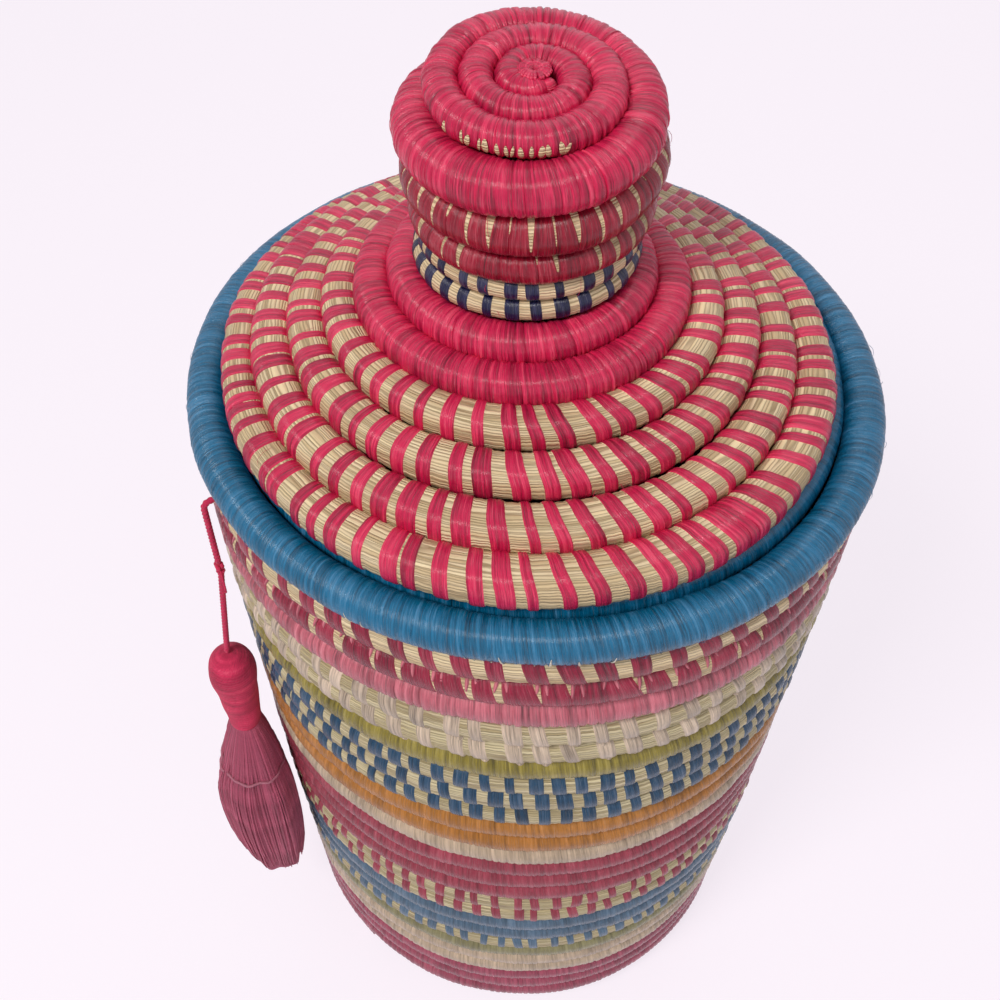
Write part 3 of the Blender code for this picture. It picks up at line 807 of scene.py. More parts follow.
class Graph(Nodes):
    """A material's nodes, round its Principled shader."""

    def __init__(self, name):
        self.material = bpy.data.materials.new(name)
        self.material.use_nodes = True
        super().__init__(self.material.node_tree)
        self.shader = self.tree.nodes["Principled BSDF"]

    def shade(self, inputs):
        for key, value in inputs.items():
            self.feed(self.shader.inputs[key], value)

    def place(self):
        return self.node("ShaderNodeUVMap", uv_map="coil").outputs[0]

    def tone(self):
        return self.node("ShaderNodeAttribute", attribute_name="tone").outputs["Fac"]

    def stretched(self, source, across, along):
        return self.node("ShaderNodeMapping", {"Vector": source, "Scale": (across, along, 1)})

    def noise(self, source, across, along, detail, roughness=0.5):
        """Noise on a map in millimetres, with so many cells to each of them both ways."""
        inputs = {
            "Vector": self.stretched(source, across, along),
            "Scale": 1.0,
            "Detail": detail,
            "Roughness": roughness,
        }
        return self.node("ShaderNodeTexNoise", inputs, noise_dimensions="2D")

    def ramp(self, value, *stops):
        made = self.node("ShaderNodeValToRGB", {"Fac": value})
        elements = made.color_ramp.elements
        for place, _ in stops[1:-1]:
            elements.new(place)
        for element, (place, shade) in zip(elements, stops):
            element.position = place
            element.color = (*shade, 1)
        return made.outputs[0]

    def mixed(self, share, first, second):
        inputs = {0: share, 6: first, 7: (*second, 1)}
        return self.node("ShaderNodeMix", inputs, data_type="RGBA").outputs[2]

    def between(self, value, low, high, to_low=0.0, to_high=1.0):
        limits = {"From Min": low, "From Max": high, "To Min": to_low, "To Max": to_high}
        return self.node("ShaderNodeMapRange", {"Value": value, **limits}).outputs[0]

    def bump(self, height, distance, strength):
        inputs = {"Height": height, "Distance": distance, "Strength": strength}
        return self.node("ShaderNodeBump", inputs)


def shaded(dye, factor):
    return tuple(min(part * factor, 1) for part in dye)


def tinted(dye, other, share):
    return tuple(a + (b - a) * share for a, b in zip(dye, other))


def raffia(name, dye, contrast, gloss):
    """Dyed raffia: fine fibres across the coil, strands of uneven shade, a few pale ones that are
    also painted glints.
    """
    graph = Graph(name)
    place = graph.place()
    strands = graph.noise(place, 0.75, 0.03, 2.0, 0.6)
    fine = graph.noise(place, 3.4, 0.10, 3.0, 0.65)
    hair = graph.noise(place, 6.46, 0.16, 1.0)
    faded = graph.noise(place, 0.04, 0.05, 2.0)
    shade = graph.total(
        1.05 - 1.13 * contrast,
        (fine, 1.05 * contrast),
        (strands, 0.95 * contrast),
        (graph.tone(), 0.26 * contrast),
        (faded, 0.3),
    )
    base = graph.ramp(
        graph.between(shade, 0.72, 1.62),
        (0.0, shaded(dye, 0.24)),
        (0.36, shaded(dye, 0.76)),
        (0.64, shaded(dye, 1.22)),
        (1.0, tinted(shaded(dye, 1.7), (1, 0.9, 0.9), 0.07)),
    )
    # Painted glints: sparse fibres mixed toward a paler tint, standing for pale fibres and for
    # highlights on the glossy raffia
    glint = graph.between(hair, 0.63, 0.74, 0.0, 0.30)
    light = tinted(dye, (1.0, 0.95, 0.92), 0.26)
    tangent = graph.node("ShaderNodeTangent", direction_type="UV_MAP", uv_map="coil")
    graph.shade(
        {
            "Base Color": graph.mixed(glint, base, light),
            "Normal": graph.bump(graph.total(fine, (strands, 0.9)), 0.32 * MM, 0.8),
            "Roughness": graph.between(fine, 0.3, 0.7, 0.34, 0.20),
            "Tangent": tangent,
            "Anisotropic": 0.7,
            "Specular IOR Level": gloss,
        }
    )
    return graph.material


def spun(name, dye):
    """Spun thread: fibres that run along it at a slant, of uneven shade."""
    graph = Graph(name)
    place = graph.place()
    turned = graph.node("ShaderNodeMapping", {"Vector": place, "Rotation": (0, 0, 0.9)})
    fine = graph.noise(turned, 0.45, 5.0, 3.0, 0.6)
    faded = graph.noise(place, 0.09, 0.12, 3.0, 0.55)
    shade = graph.total(0.0, (fine, 0.9), (faded, 0.6), (graph.tone(), 0.30))
    base = graph.ramp(
        graph.between(shade, 0.50, 1.30),
        (0.0, shaded(dye, 0.42)),
        (0.4, shaded(dye, 0.85)),
        (0.7, shaded(dye, 1.12)),
        (1.0, tinted(shaded(dye, 1.35), (1, 0.9, 0.95), 0.10)),
    )
    graph.shade(
        {
            "Base Color": base,
            "Normal": graph.bump(fine, 0.2 * MM, 0.7),
            "Roughness": 0.72,
            "Specular IOR Level": 0.25,
            "Sheen Weight": 0.12,
        }
    )
    return graph.material


def straw(name, bare):
    """Bare straw: stems side by side along the coil, each of its own shade, dark between them."""
    graph = Graph(name)
    place = graph.place()
    wander = graph.maths("MULTIPLY", graph.noise(place, 0.05, 0.25, 1.0), 1.6)
    offset = graph.node("ShaderNodeCombineXYZ", {"Y": wander})
    lines = graph.node("ShaderNodeVectorMath", {0: graph.stretched(place, 0.018, 1.12), 1: offset})
    edge, cell = (
        graph.node(
            "ShaderNodeTexVoronoi",
            {"Vector": lines, "Scale": 1.0, "Randomness": 0.85},
            voronoi_dimensions="2D",
            feature=feature,
        )
        for feature in ("DISTANCE_TO_EDGE", "F1")
    )
    shade = graph.node("ShaderNodeSeparateColor", {0: cell.outputs["Color"]})
    grain = graph.noise(place, 0.5, 6.0, 2.0, 0.6)
    body = graph.ramp(
        graph.total(0.0, (shade, 0.7), (grain, 0.35)),
        (0.0, tinted(shaded(bare, 0.60), (0.35, 0.16, 0.05), 0.16)),
        (0.42, shaded(bare, 0.92)),
        (0.7, tinted(bare, (1, 0.95, 0.8), 0.18)),
        (1.0, shaded(bare, 1.3)),
    )
    gap = graph.between(edge, 0.0, 0.14, 0.66, 0.0)
    seam = tinted(shaded(bare, 0.30), (0.20, 0.09, 0.03), 0.45)
    graph.shade(
        {
            "Base Color": graph.mixed(gap, body, seam),
            "Normal": graph.bump(graph.between(edge, 0.0, 0.30), 0.35 * MM, 0.8),
            "Roughness": 0.5,
            "Specular IOR Level": 0.35,
        }
    )
    return graph.material


DULL_DYES = ("foot_pink", "plum", "cream", "tan", "olive_grey", "blue_grey")
made_materials = {}


def finish_of(kind, colours):
    """The material for a colour's name, made once."""
    if kind not in made_materials:
        shade = tuple(getattr(colours, kind))
        if "straw" in kind:
            made = straw(kind, shade)
        elif kind in ("tassel", "skirt", "tie"):
            made = spun(f"thread_{kind}", shade)
        elif kind in DULL_DYES:
            made = raffia(f"raffia_{kind}", shade, 0.65, 0.25)
        else:
            made = raffia(f"raffia_{kind}", shade, 1.0, 0.46 if kind == "blue" else 0.40)
        made_materials[kind] = made
    return made_materials[kind]


# The body's bands from the foot up: their node, rows and wrap
ROW = dict(slant=1.0, relief=0.26)
PALE = dict(straw="pale_straw")
WALL_BANDS = [
    ("foot_pink_rows", 3, Wrap("foot_pink", 2.5, **ROW)),
    ("lower_cream_rows", 2, Wrap("cream", 2.7, **ROW)),
    ("olive_grey_row", 1, Wrap("olive_grey", 2.4, **ROW)),
    ("small_check_row", 1, Wrap("blue_grey", 6.8, (3.8, 3.4, 3.0), 0.8, **PALE)),
    ("blue_grey_rows", 2, Wrap("blue_grey", 2.4, **ROW)),
    ("pink_upright_rows", 2, Wrap("plum", 7.4, (3.3, 3.2, 3.0), 0.8, per_turn=86, **PALE)),
    ("plum_pink_rows", 3, Wrap("plum", 2.5, slant=1.2, relief=0.26)),
    ("upper_cream_row", 1, Wrap("cream", 2.6, slant=1.2, relief=0.26)),
    ("tan_rows", 2, Wrap("tan", 2.4, slant=1.2, relief=0.24)),
    ("blue_check_rows", 3, Wrap("check_blue", 7.6, (4.1, 4.1, 3.9), 0.8, per_turn=85.26, **PALE)),
    ("olive_row", 1, Wrap("olive", 2.3, slant=1.2, relief=0.26)),
    (
        "straw_rows",
        2,
        Wrap("natural", 9.2, (4.6, 4.2, 3.6), 2.0, per_turn=71.17, relief=0.4, **PALE),
    ),
    ("light_pink_row", 1, Wrap("light_pink", 2.6, slant=1.0, relief=0.5)),
    # The two rows under the rim take the dark pink, which holds painted shade from the rim above
    # them
    ("dark_pink_row", 1, Wrap("dark_pink", 9.9, (7.6, 9.3, 9.8), 2.4, per_turn=67)),
    ("pink_stitch_row", 1, Wrap("dark_pink", 9.9, (5.2, 5.0, 4.2), 3.0, per_turn=67, offset=0.4)),
]

# The lid's nodes, each with its first and last turn and its wrap
PINK_WRAP = dict(slant=1.6, relief=0.46, uneven=0.18)
FLECKED = dict(relief=0.36, loose=0.07, closed=0.45, closed_from=5.5)
STRIPED = dict(relief=0.42, uneven=0.10, loose=0.17, doubled=0.04)
EDGE_FROM = 14 + 13 / 18
LID_STRETCHES = [
    ("knob_top_coil", LidCoil.FIRST, 3.5, Wrap("pink", 2.1, **PINK_WRAP)),
    ("knob_shoulder_coil", 3.5, 4.5, Wrap("pink", 1.9, **PINK_WRAP)),
    # The knob's pink rows take the deep pink, which holds painted shade from the shoulder above
    # them
    ("knob_pink_rows", 4.5, 6.5, Wrap("deep_pink", 4.8, (3.4, 4.3, 5.2), 0.6, **FLECKED)),
    ("knob_navy_rows", 6.5, 8.5, Wrap("navy", 6.4, (3.0, 2.9, 2.6), 0.4)),
    ("lid_collar_rows", 8.5, 10.5, Wrap("pink", 2.0, **PINK_WRAP)),
    ("lid_striped_rows", 10.5, EDGE_FROM, Wrap("pink", 7.6, (4.1, 4.4, 4.1), **STRIPED)),
    ("lid_edge_coil", EDGE_FROM, LidCoil.LAST, Wrap("blue", 1.6, slant=1.5, relief=0.18)),
]
# By azimuth, how far a stripe's foot lies to the right of its top, in millimetres
DOME_SLANT = (
    (0, 3.0), (60, 1.5), (150, 0.8), (240, 0.8), (262, 2.2), (285, 5.0), (330, 5.4), (360, 3.0),
)


class BasketOperator(bpy.types.Operator):
    bl_options = {"REGISTER", "UNDO"}

    @property
    def sizes(self):
        return bpy.context.scene.basket_sizes

    @property
    def colours(self):
        return bpy.context.scene.basket_colours

    def dress(self, thing, kinds, body, node, stands_for_it=True):
        """Gives a piece its finishes and its body, and hides its node's CAD part where the piece
        stands for it.
        """
        for kind in kinds:
            thing.data.materials.append(finish_of(kind, self.colours))
        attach(thing, body)
        if stands_for_it:
            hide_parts(node)


class BASKET_OT_base(BasketOperator):
    """Makes the flat spiral under the basket"""

    bl_idname = "basket.base"
    bl_label = "Base"

    def execute(self, context):
        coil = BaseCoil(self.sizes)
        wrap = Wrap("foot_pink", 2.6, slant=0.6, relief=0.2)
        thing = wrapped_coil("base_spiral", coil, coil.FIRST, coil.TURNS, wrap, SEEDS["base"])
        self.dress(thing, (wrap.dye, wrap.straw), "basket", "base_disc")
        return {"FINISHED"}


class BASKET_OT_wall(BasketOperator):
    """Makes the rows of the body, band by band"""

    bl_idname = "basket.wall"
    bl_label = "Body rows"

    def execute(self, context):
        coil = WallCoil(self.sizes)
        row = 0
        for number, (node, rows, wrap) in enumerate(WALL_BANDS):
            first = coil.FIRST if row == 0 else row
            row += rows
            last = coil.LAST if row == coil.ROWS else row
            seed = SEEDS["body"] + number
            thing = wrapped_coil(f"{node}_wrapped", coil, first, last, wrap, seed)
            self.dress(thing, (wrap.dye, wrap.straw), "basket", node)
        return {"FINISHED"}


class BASKET_OT_rim(BasketOperator):
    """Makes the thick blue rim"""

    bl_idname = "basket.rim"
    bl_label = "Rim"

    def execute(self, context):
        wrap = Wrap("blue", 1.7, slant=2.0, relief=0.2)
        coil = RimCoil(self.sizes)
        thing = wrapped_coil("rim_coil_wrapped", coil, 0, 1, wrap, SEEDS["rim"])
        self.dress(thing, (wrap.dye, wrap.straw), "basket", "rim_coil")
        return {"FINISHED"}


class BASKET_OT_lid(BasketOperator):
    """Makes the lid's rows from the knob's eye to the blue edge"""

    bl_idname = "basket.lid"
    bl_label = "Lid rows"

    PETALS = 26

    def execute(self, context):
        coil = LidCoil(self.sizes)
        for number, (node, first, last, wrap) in enumerate(LID_STRETCHES):
            slants = DOME_SLANT if node == "lid_striped_rows" else None
            seed = SEEDS["lid"] + number
            thing = wrapped_coil(f"{node}_wrapped", coil, first, last, wrap, seed, slants)
            if node == "knob_top_coil":
                thing = joined(thing.name, [thing, *self.eye(coil)])
            self.dress(thing, (wrap.dye, wrap.straw), "lid", node)
        return {"FINISHED"}

    def eye(self, coil):
        """Raffia drawn together over the coil's start, like petals round the middle."""
        first_turn = coil.along(np.linspace(0.95, 1.9, 24))
        ring = coil.surface(first_turn, np.full(24, math.pi / 2), 0.0)
        reach = coil.EYE_RADIUS
        middle = np.array([coil.LEAN, 0, ring[:, 2].mean() - 0.2 * MM])
        core = [middle - 6 * MM * UP, middle - 1.2 * MM * UP]
        petals = [thread("eye_core", core, 2.3 * reach, 0.8 * MM, 16)]
        beside = np.array([3.6, -3.0, 0]) * MM
        petals.append(thread("eye_side", np.array(core) + beside, 1.6 * reach, 0.8 * MM, 16))
        draw = np.random.default_rng(SEEDS["eye"])
        share = np.linspace(0, 1, 6)[:, None]
        rise = 0.3 * MM * np.sin(share * math.pi)
        rise = rise - 1.3 * MM * (1 - share) ** 2 - 0.7 * MM * share**3
        for number in range(self.PETALS):
            angle = number / self.PETALS * 2 * math.pi + draw.uniform(-0.08, 0.08)
            out = np.array([math.cos(angle), math.sin(angle), 0])
            line = middle + (0.12 + 1.25 * share) * reach * out + rise * UP
            thick, tone = draw.uniform(1.0, 1.5) * MM, draw.uniform(0, 1)
            petals.append(thread(f"eye_petal_{number}", line, thick, 0.7 * MM, 7, tone=tone))
        return petals


# Where the tassel hangs, round the basket, and how many flats the CAD's wall has there
TASSEL_AZIMUTH = 207.0
WALL_FACETS = 18
# Room between the cord and the wall, and at the knot and the head
WALL_ROOM = 0.0006
KNOT_ROOM = 0.0003


def tassel_layout(sizes):
    """The points that the tassel hangs from, as the CAD has them."""
    azimuth = math.radians(TASSEL_AZIMUTH)
    outward = np.array([math.cos(azimuth), math.sin(azimuth), 0.0])
    wall = WallCoil(sizes)
    row = wall.pitch - wall.ROW_GAP
    exit_height = wall.ceiling - row / 2
    exit_radius = wall.outside(exit_height) * math.cos(math.pi / WALL_FACETS) + WALL_ROOM
    bend = exit_radius + sizes.cord_thickness / 2
    knot_radius = sizes.rim_radius + sizes.knot_standoff
    reach = knot_radius - bend
    knot = knot_radius * outward + (sizes.rim_height - sizes.knot_drop) * UP
    hang = (sizes.rim_radius + sizes.tassel_standoff) * outward
    loop = [exit_radius * outward + exit_height * UP]
    for angle in np.radians(np.linspace(0, 90, 7)):
        radius = bend + reach * math.sin(angle)
        height = exit_height - reach * (1 - math.cos(angle))
        loop.append(radius * outward + height * UP)
    clear = sizes.knot_thickness / 2 + KNOT_ROOM
    loop.append(knot + clear * UP)
    head_top = hang + (sizes.rim_height - sizes.head_drop) * UP
    cord = [knot - clear * UP, head_top + KNOT_ROOM * UP]
    return outward, np.array(loop), np.array(cord), knot, head_top


class BASKET_OT_cords(BasketOperator):
    """Makes the two lengths of twisted cord that the tassel hangs on, with their knot"""

    bl_idname = "basket.cords"
    bl_label = "Cords and knot"

    def execute(self, context):
        sizes = self.sizes
        outward, loop, cord, knot, _ = tassel_layout(sizes)
        thick = sizes.cord_thickness
        made = []
        for node, line, body in (
            ("cord_loop", loop, "cord_loop_body"),
            ("tassel_cord", cord, "tassel"),
        ):
            path = even(line, 1.0 * MM)[0]
            thing = thread(
                f"{node}_twisted", path, thick, 0.35 * MM, sides=14, strands=2, pitch=3.4 * MM,
                ends=0.75,
            )
            self.dress(thing, ("tassel",), body, node)
            made.append((thing, path))
        tied = self.tied_knot(knot, outward)
        self.dress(tied, ("tassel",), "cord_loop_body", "cord_knot")
        (short, short_path), (long, long_path) = made
        self.declare(short, short_path, thick, "knot", (tied,))
        self.declare(long, long_path, thick, "object", ())
        return {"FINISHED"}

    @staticmethod
    def declare(thing, path, thick, far_end, pieces):
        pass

    def tied_knot(self, knot, outward):
        """A thread wound over itself like a tight overhand knot, with two short tails."""
        turn = np.linspace(0.02, 0.98, 90) * 2 * math.pi
        thick = self.sizes.knot_thickness
        ring = 1.0 + 0.55 * np.cos(3 * turn)
        across = np.cross(UP, outward)
        line = knot + 0.27 * thick * (
            (ring * np.cos(2 * turn))[:, None] * across
            + (ring * np.sin(2 * turn))[:, None] * UP
            + (0.62 * np.sin(3 * turn))[:, None] * outward
        )
        parts = [thread("knot_core", line, 0.36 * thick, 0.3 * MM, 8, 2, 2.4 * MM)]
        share = np.linspace(0, 1, 6)[:, None]
        for number, (side, drop) in enumerate(((1.0, -1.3), (-0.7, -1.6))):
            tail = knot + share * 5.5 * MM * (side * across + drop * share * UP + 0.1 * outward)
            parts.append(thread(f"knot_tail_{number}", tail, 0.9 * MM, 0.4 * MM, 7, 2, 2.0 * MM))
        return joined("cord_knot_tied", parts)


class BASKET_OT_tassel(BasketOperator):
    """Makes the tassel's wound head, its skirt of loose threads and the thread tied round it"""

    bl_idname = "basket.tassel"
    bl_label = "Tassel"

    # By share of its length down, the skirt's half width as a share of the stated one
    OUTLINE = (
        (0, 0.40), (0.05, 0.56), (0.16, 0.78), (0.27, 0.92), (0.38, 1.02), (0.48, 1.06),
        (0.64, 1.04), (0.80, 0.95), (0.93, 0.78), (1.0, 0.60),
    )
    # Its depth as a share of its width: away from the wall, and toward the wall
    DEEP, FLAT_SIDE = 0.98, 0.66
    # Where the thread is tied round the skirt, as a share of its length
    TIE_DOWN = 0.24
    # Steps round the head and round the skirt's core, and the number of threads
    HEAD_SIDES, CORE_SIDES, THREADS = 48, 84, 170
    # The threads end a little above the foot that the solid has
    THREADS_REACH = 0.93

    def execute(self, context):
        outward, _, _, _, head_top = tassel_layout(self.sizes)
        self.outward = outward
        self.across = np.cross(UP, outward)
        self.top = head_top - self.sizes.head_length * UP
        self.length = self.THREADS_REACH * (self.top[2] - self.sizes.skirt_foot)
        for thing, kind, node in (
            (self.head(head_top), "tassel", "tassel_head"),
            (self.skirt(), "skirt", "tassel_skirt"),
            (self.tie(), "tie", "tassel_tie"),
        ):
            self.dress(thing, (kind,), "tassel", node)
        return {"FINISHED"}

    def round_it(self, middle, reach, deep, angle, down):
        """Points round the tassel, by their reach along the wall and out from it."""
        return (
            middle
            + (reach * np.cos(angle) * deep)[..., None] * self.outward
            + (reach * np.sin(angle))[..., None] * self.across
            - down[..., None] * UP
        )

    def head(self, head_top):
        """A bulb of wound thread: fine ridges that climb round it at a low slant."""
        sizes = self.sizes
        wide, neck, tall = sizes.head_thickness / 2, sizes.head_neck / 2, sizes.head_length
        profile = [(0.12 * wide, 0.0), (0.45 * wide, 0.10 * wide), (0.82 * wide, 0.45 * wide)]
        profile += [(wide, 1.10 * wide), (0.97 * wide, 1.9 * wide), (1.06 * neck, 0.72 * tall)]
        profile += [(neck, 0.90 * tall), (0.97 * neck, tall)]
        line = rounded([(radius, 0, down) for radius, down in profile], 3)
        line, places = even(line, 0.22 * MM)
        angle = np.linspace(0, 2 * math.pi, self.HEAD_SIDES + 1)
        wound = places[:, None] / (1.25 * MM) - 2 * angle[None] / (2 * math.pi)
        ridge = np.abs(np.sin(math.pi * wound)) ** 0.7 * 0.20 * MM - 0.16 * MM
        draw = np.random.default_rng(SEEDS["head"])
        soft = sum(
            np.sin(k * angle[None] + places[:, None] * draw.uniform(150, 420) + draw.uniform(0, 6))
            for k in (1, 2, 3)
        )
        radius = np.maximum(line[:, :1] + ridge + 0.13 * MM * soft, 0.15 * MM)
        points = self.round_it(head_top, radius, 1.0, angle, line[:, 2:])
        runs = np.arange(len(line) - 1)
        some = np.arange(0, len(line), 6)
        tone = np.interp(runs, some, draw.uniform(0, 1, len(some)))
        flat_map = mapped(angle[None] * wide, places[:, None])
        return rolled("tassel_head_wound", points, flat_map, tone)

    def spot(self, angle, down, spread=1.0):
        """A place on the skirt, by direction round it and share of its length down."""
        pinched = 1 - 0.10 * np.exp(-(((down - self.TIE_DOWN) / 0.035) ** 2))
        folds = 1 + 0.045 * np.sin(7 * angle + 1.3) + 0.03 * np.sin(12 * angle + 0.4 + 3 * down)
        folded = 1 + (folds - 1) * np.minimum(3 * down, 1)
        widest = self.sizes.skirt_width / 2
        reach = widest * at_keys(down, self.OUTLINE) * pinched * folded * spread
        away = self.FLAT_SIDE + smooth(3 * down) * (self.DEEP - self.FLAT_SIDE)
        deep = np.where(np.cos(angle) > 0, away, self.FLAT_SIDE)
        return self.round_it(self.top, reach, deep, angle, down * self.length)

    def skirt(self):
        """A soft core with threads combed down over it."""
        down = np.concatenate((np.linspace(0, 0.84, 44), np.linspace(0.85, 0.90, 10)))
        angle = np.linspace(0, 2 * math.pi, self.CORE_SIDES + 1)
        table, around = np.meshgrid(down, angle, indexing="ij")
        points = self.spot(around, table, 0.955)
        flat = mapped(table * self.length, around * (self.sizes.skirt_width / 2))
        core = rolled("skirt_core", points, flat, 0.3)
        draw = np.random.default_rng(SEEDS["skirt"])
        parts = [core]
        for number in range(self.THREADS):
            start = 2 * math.pi * (number + draw.uniform(-0.3, 0.3)) / self.THREADS
            sway = draw.normal(0, 0.05)
            end = draw.uniform(0.94, 1.0) if number % 3 else draw.uniform(0.86, 0.97)
            share = np.linspace(0.0, end * (0.96 - 0.05 * (1 + math.cos(start))), 15)
            bend = sway * share + draw.normal(0, 0.015) * np.sin(share * draw.uniform(4, 9))
            line = self.spot(start + bend, share, draw.uniform(0.955, 1.0))
            thin, tone = draw.uniform(0.7, 1.05) * MM, draw.uniform(0, 1)
            parts.append(thread(f"skirt_thread_{number}", line, thin, 9 * MM, 5, tone=tone))
        return joined("tassel_skirt_threads", parts)

    def tie(self):
        """A pale thread tied round the skirt, hanging in a shallow curve."""
        turn = np.linspace(0.0, 0.985, 60) * 2 * math.pi + math.radians(15)
        sag = self.TIE_DOWN + 0.012 * np.cos(turn) ** 2 - 0.008
        line = self.spot(turn, sag, 1.09)
        line[:, 2] = self.spot(turn, sag)[:, 2]
        return thread("tassel_tie_thread", line, 1.1 * MM, 0.6 * MM, 8, 2, 2.4 * MM)


class BASKET_OT_fibres(BasketOperator):
    """Makes the loose fibres and the slivers of straw that show between the stitches"""

    bl_idname = "basket.fibres"
    bl_label = "Loose fibres"

    def execute(self, context):
        draw = np.random.default_rng(SEEDS["fibres"])
        rim, lid = RimCoil(self.sizes), LidCoil(self.sizes)
        edge_hairs = [self.hair(rim, draw, 0, 1, (-75, -20), (1.0, 2.2)) for _ in range(80)]
        self.finish("rim_loose_fibres", edge_hairs, "blue", "basket", "rim_coil")
        pale = []
        for azimuth in list(draw.uniform(200, 340, 9)) + [232, 246, 262, 268]:
            place = rim.along(((azimuth - rim.START_AZIMUTH) / 360) % 1)
            high, width, drift = draw.uniform(-60, -15), draw.uniform(0.4, 0.9), draw.normal(0, 1.5)
            name = f"rim_sliver_{len(pale)}"
            pale.append(sliver(name, rim, place, -110, high, width, drift=drift))
        self.finish("rim_pale_slivers", pale, "pale_fibre", "basket", "rim_coil")
        straws = []
        for step in range(16):
            azimuth = 214 + step * 5.2 + draw.normal(0, 1.0)
            place = lid.along((lid.START_AZIMUTH - azimuth) / 360 + 3)
            low, width, drift = draw.uniform(-72, -60), draw.uniform(0.7, 1.5), draw.normal(0, 0.6)
            straws.append(sliver(f"crease_straw_{step}", lid, place, low, -112, width, 0.2, drift))
        self.finish("knob_crease_straws", straws, "straw", "lid", "knob_top_coil")
        self.stitch_tips(-1, (-0.9, 0.9), 1.15, (10, 40), "light_pink", draw)
        self.stitch_tips(-4, (0.0,), 3.4, (38, 62), "natural", draw)
        hairs = [self.hair(lid, draw, 10.5, 14.4, (-30, 70), (3.0, 9.0)) for _ in range(26)]
        hairs += [self.hair(lid, draw, 1.2, 10.4, (-50, 60), (1.5, 4.0)) for _ in range(70)]
        self.finish("lid_loose_fibres", hairs, "pink", "lid", "lid_striped_rows")
        return {"FINISHED"}

    def stitch_tips(self, band, sides, width, ends, shade, draw):
        """The lower ends of a band's stitches, lying over the row below it."""
        coil = WallCoil(self.sizes)
        number = len(WALL_BANDS) + band
        node, rows, wrap = WALL_BANDS[number]
        first = sum(rows_below for _, rows_below, _ in WALL_BANDS[:number])
        last = min(first + rows, coil.ROWS)
        again = np.random.default_rng(SEEDS["body"] + number)
        places = stitch_places(coil, first, last, wrap, again)
        tips = []
        for place in places[(places > coil.along(first)) & (places < coil.along(last))]:
            foot = coil.along(coil.turn_at(place) - 1) + coil.DIRECTION * wrap.slant / 2 * MM
            for side in sides:
                drift = side * draw.uniform(0.4, 1.2) + draw.normal(0.5, 0.3)
                end, tone = draw.uniform(*ends), draw.uniform(0, 1)
                place = foot + side * MM
                tips.append(
                    sliver(f"tip_{len(tips)}", coil, place, 84, end, width, 0.3, drift, tone)
                )
        self.finish(f"{node}_tips", tips, shade, "basket", node)

    @staticmethod
    def hair(coil, draw, first, last, angles, lengths):
        """A thin curved fibre that stands off a coil's surface."""
        place = coil.along(draw.uniform(first, last))
        low = draw.uniform(*angles)
        reach = draw.uniform(*lengths) * MM
        share = np.linspace(0, 1, 6)
        sweep = draw.choice([-1, 1]) * draw.uniform(20, 70)
        angle = np.radians(low + sweep * share) + np.radians(coil.crest_at(coil.turn_at(place)))
        along = place + draw.normal(0, 0.4) * reach * share
        off, curl = draw.uniform(0.05, 0.45), draw.uniform(1.2, 2.9)
        raised = 0.1 * MM + reach * off * np.sin(share * curl)
        line = coil.surface(along, angle, raised)
        thick, tone = draw.uniform(0.08, 0.16) * MM, draw.uniform(0, 1)
        return thread("hair", line, thick, reach / 6, 4, tone=tone)

    def finish(self, name, parts, shade, body, node):
        self.dress(joined(name, parts), (shade,), body, node, stands_for_it=False)


class BASKET_OT_camera(BasketOperator):
    """Places the camera at the photograph's angle"""

    bl_idname = "basket.camera"
    bl_label = "Camera"

    # From the rim's middle, which shows at these pixels of the photograph
    PLACE = Vector((0.0, -0.2930, 0.2868))
    RIM_AT = (534.0, 371.8)
    FOCAL_PIXELS = 1271.0
    # Turn about the line of sight, in radians
    ROLL = 0.0400
    # The photograph's width in pixels, and the sensor's in millimetres
    PICTURE = 1000
    SENSOR = 36

    def execute(self, context):
        forward = -self.PLACE.normalized()
        right = Vector((1, 0, 0))
        up = right.cross(forward)
        looking = Matrix((right, -up, forward))
        centre = Vector(((at - self.PICTURE / 2) / self.FOCAL_PIXELS for at in self.RIM_AT)).to_3d()
        centre.z = 1
        aim = Vector((0, 0, 1)).rotation_difference(centre.normalized()).to_matrix()
        turned = aim @ Matrix.Rotation(self.ROLL, 3, "Z") @ looking
        axes = Matrix((turned[0], -turned[1], -turned[2])).transposed()
        place = self.PLACE + Vector((0, 0, self.sizes.rim_height))
        deselect()
        bpy.ops.object.camera_add(location=place)
        camera = settle("photo_camera")
        camera.matrix_world = Matrix.Translation(place) @ axes.to_4x4()
        camera.data.sensor_width = self.SENSOR
        camera.data.lens = self.SENSOR * self.FOCAL_PIXELS / self.PICTURE
        camera.data.clip_start = 0.01
        camera.data.clip_end = 50
        context.scene.camera = camera
        return {"FINISHED"}


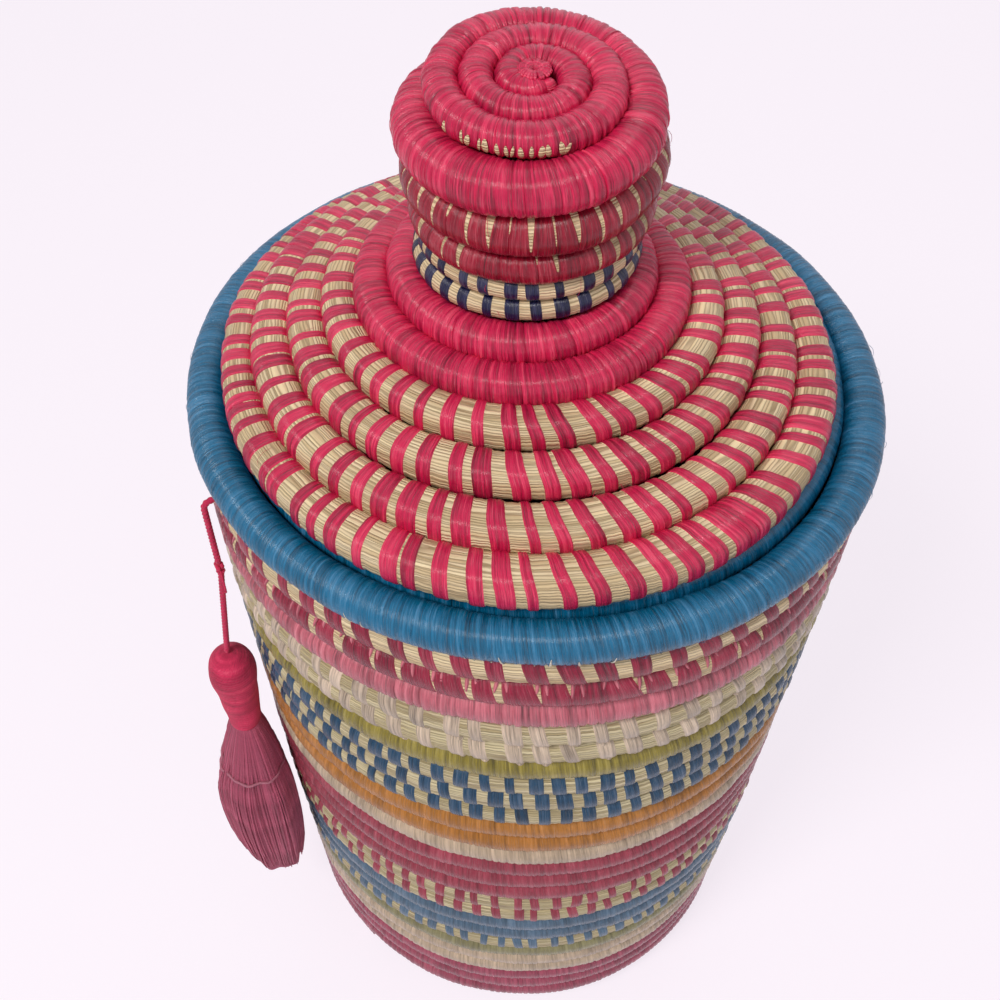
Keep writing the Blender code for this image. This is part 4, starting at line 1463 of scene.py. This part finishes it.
class BASKET_OT_stage(BasketOperator):
    """Makes the pale floor, the background and the soft lamps"""

    bl_idname = "basket.stage"
    bl_label = "Floor and lamps"

    # How brightly the floor shows its own colour, in which share of what is seen, and the light
    # of the surroundings
    FLOOR_GLOW, FLOOR_SHARE, SURROUNDINGS = 1.15, 0.72, 0.31

    def execute(self, context):
        ground = tuple(self.colours.ground)
        deselect()
        bpy.ops.mesh.primitive_grid_add(x_subdivisions=4, y_subdivisions=4, size=30)
        floor = settle("floor")
        floor.data.materials.append(self.floor_finish(ground))
        self.background(context.scene.world or bpy.data.worlds.new("studio"), ground)
        self.lamp("key_lamp", (-0.55, -0.75, 1.45), 0.42, 13.2, (1.0, 0.985, 0.96))
        self.lamp("fill_lamp", (1.1, -0.9, 0.8), 1.2, 3.2, (0.96, 0.97, 1.0))
        self.lamp("back_lamp", (0.2, 1.2, 1.2), 1.2, 3.6, (1.0, 0.98, 1.0))
        return {"FINISHED"}

    def floor_finish(self, ground):
        """Pale floor whose own colour reaches the camera, with the soft shadow kept."""
        graph = Graph("pale_floor")
        base = (*shaded(ground, 0.95), 1)
        graph.shade({"Base Color": base, "Roughness": 0.9, "Specular IOR Level": 0.1})
        light = {"Color": (*ground, 1), "Strength": self.FLOOR_GLOW}
        glow = graph.node("ShaderNodeEmission", light)
        share = graph.maths("MULTIPLY", graph.seen_rays(), self.FLOOR_SHARE)
        mix = graph.node("ShaderNodeMixShader", {0: share, 1: graph.shader.outputs[0], 2: glow})
        graph.feed(graph.tree.nodes["Material Output"].inputs["Surface"], mix)
        return graph.material

    def background(self, world, ground):
        """Pale to the camera and in what the piece mirrors, and a soft light otherwise."""
        bpy.context.scene.world = world
        world.use_nodes = True
        world.node_tree.nodes.clear()
        nodes = Nodes(world.node_tree)
        light, seen = (
            nodes.node("ShaderNodeBackground", {"Color": (*tint, 1), "Strength": strength})
            for tint, strength in (((0.96, 0.97, 1.0), self.SURROUNDINGS), (ground, 1.0))
        )
        mix = nodes.node("ShaderNodeMixShader", {0: nodes.seen_rays(), 1: light, 2: seen})
        nodes.node("ShaderNodeOutputWorld", {0: mix})

    def lamp(self, name, place, width, power, tint):
        deselect()
        bpy.ops.object.light_add(type="AREA", location=place)
        lamp = settle(name)
        lamp.data.size = width
        lamp.data.energy = power
        lamp.data.color = tint
        aim = Vector((0, 0, 0.25)) - Vector(place)
        lamp.rotation_euler = aim.to_track_quat("-Z", "Y").to_euler()


class BASKET_PT_panel(bpy.types.Panel):
    """Lists the steps that make the basket"""

    bl_idname = "BASKET_PT_panel"
    bl_label = "Coiled basket"
    bl_space_type = "VIEW_3D"
    bl_region_type = "UI"
    bl_category = "Basket"

    def draw(self, context):
        for step in STEPS:
            self.layout.operator(step.bl_idname)
        for group in (context.scene.basket_sizes, context.scene.basket_colours):
            box = self.layout.box()
            for name in group.__annotations__:
                box.prop(group, name)


STEPS = (
    BASKET_OT_camera,
    BASKET_OT_cords,
    BASKET_OT_stage,
    BASKET_OT_base,
    BASKET_OT_wall,
    BASKET_OT_rim,
    BASKET_OT_lid,
    BASKET_OT_tassel,
    BASKET_OT_fibres,
)
CLASSES = (BasketSizes, BasketColours, *STEPS, BASKET_PT_panel)


def register():
    for made in CLASSES:
        bpy.utils.register_class(made)
    bpy.types.Scene.basket_sizes = bpy.props.PointerProperty(type=BasketSizes)
    bpy.types.Scene.basket_colours = bpy.props.PointerProperty(type=BasketColours)


def unregister():
    del bpy.types.Scene.basket_colours
    del bpy.types.Scene.basket_sizes
    for made in reversed(CLASSES):
        bpy.utils.unregister_class(made)


def main():
    register()
    bpy.context.scene.view_settings.view_transform = "Standard"
    for step in STEPS:
        group, action = step.bl_idname.split(".")
        getattr(getattr(bpy.ops, group), action)()


if __name__ == "__main__":
    main()
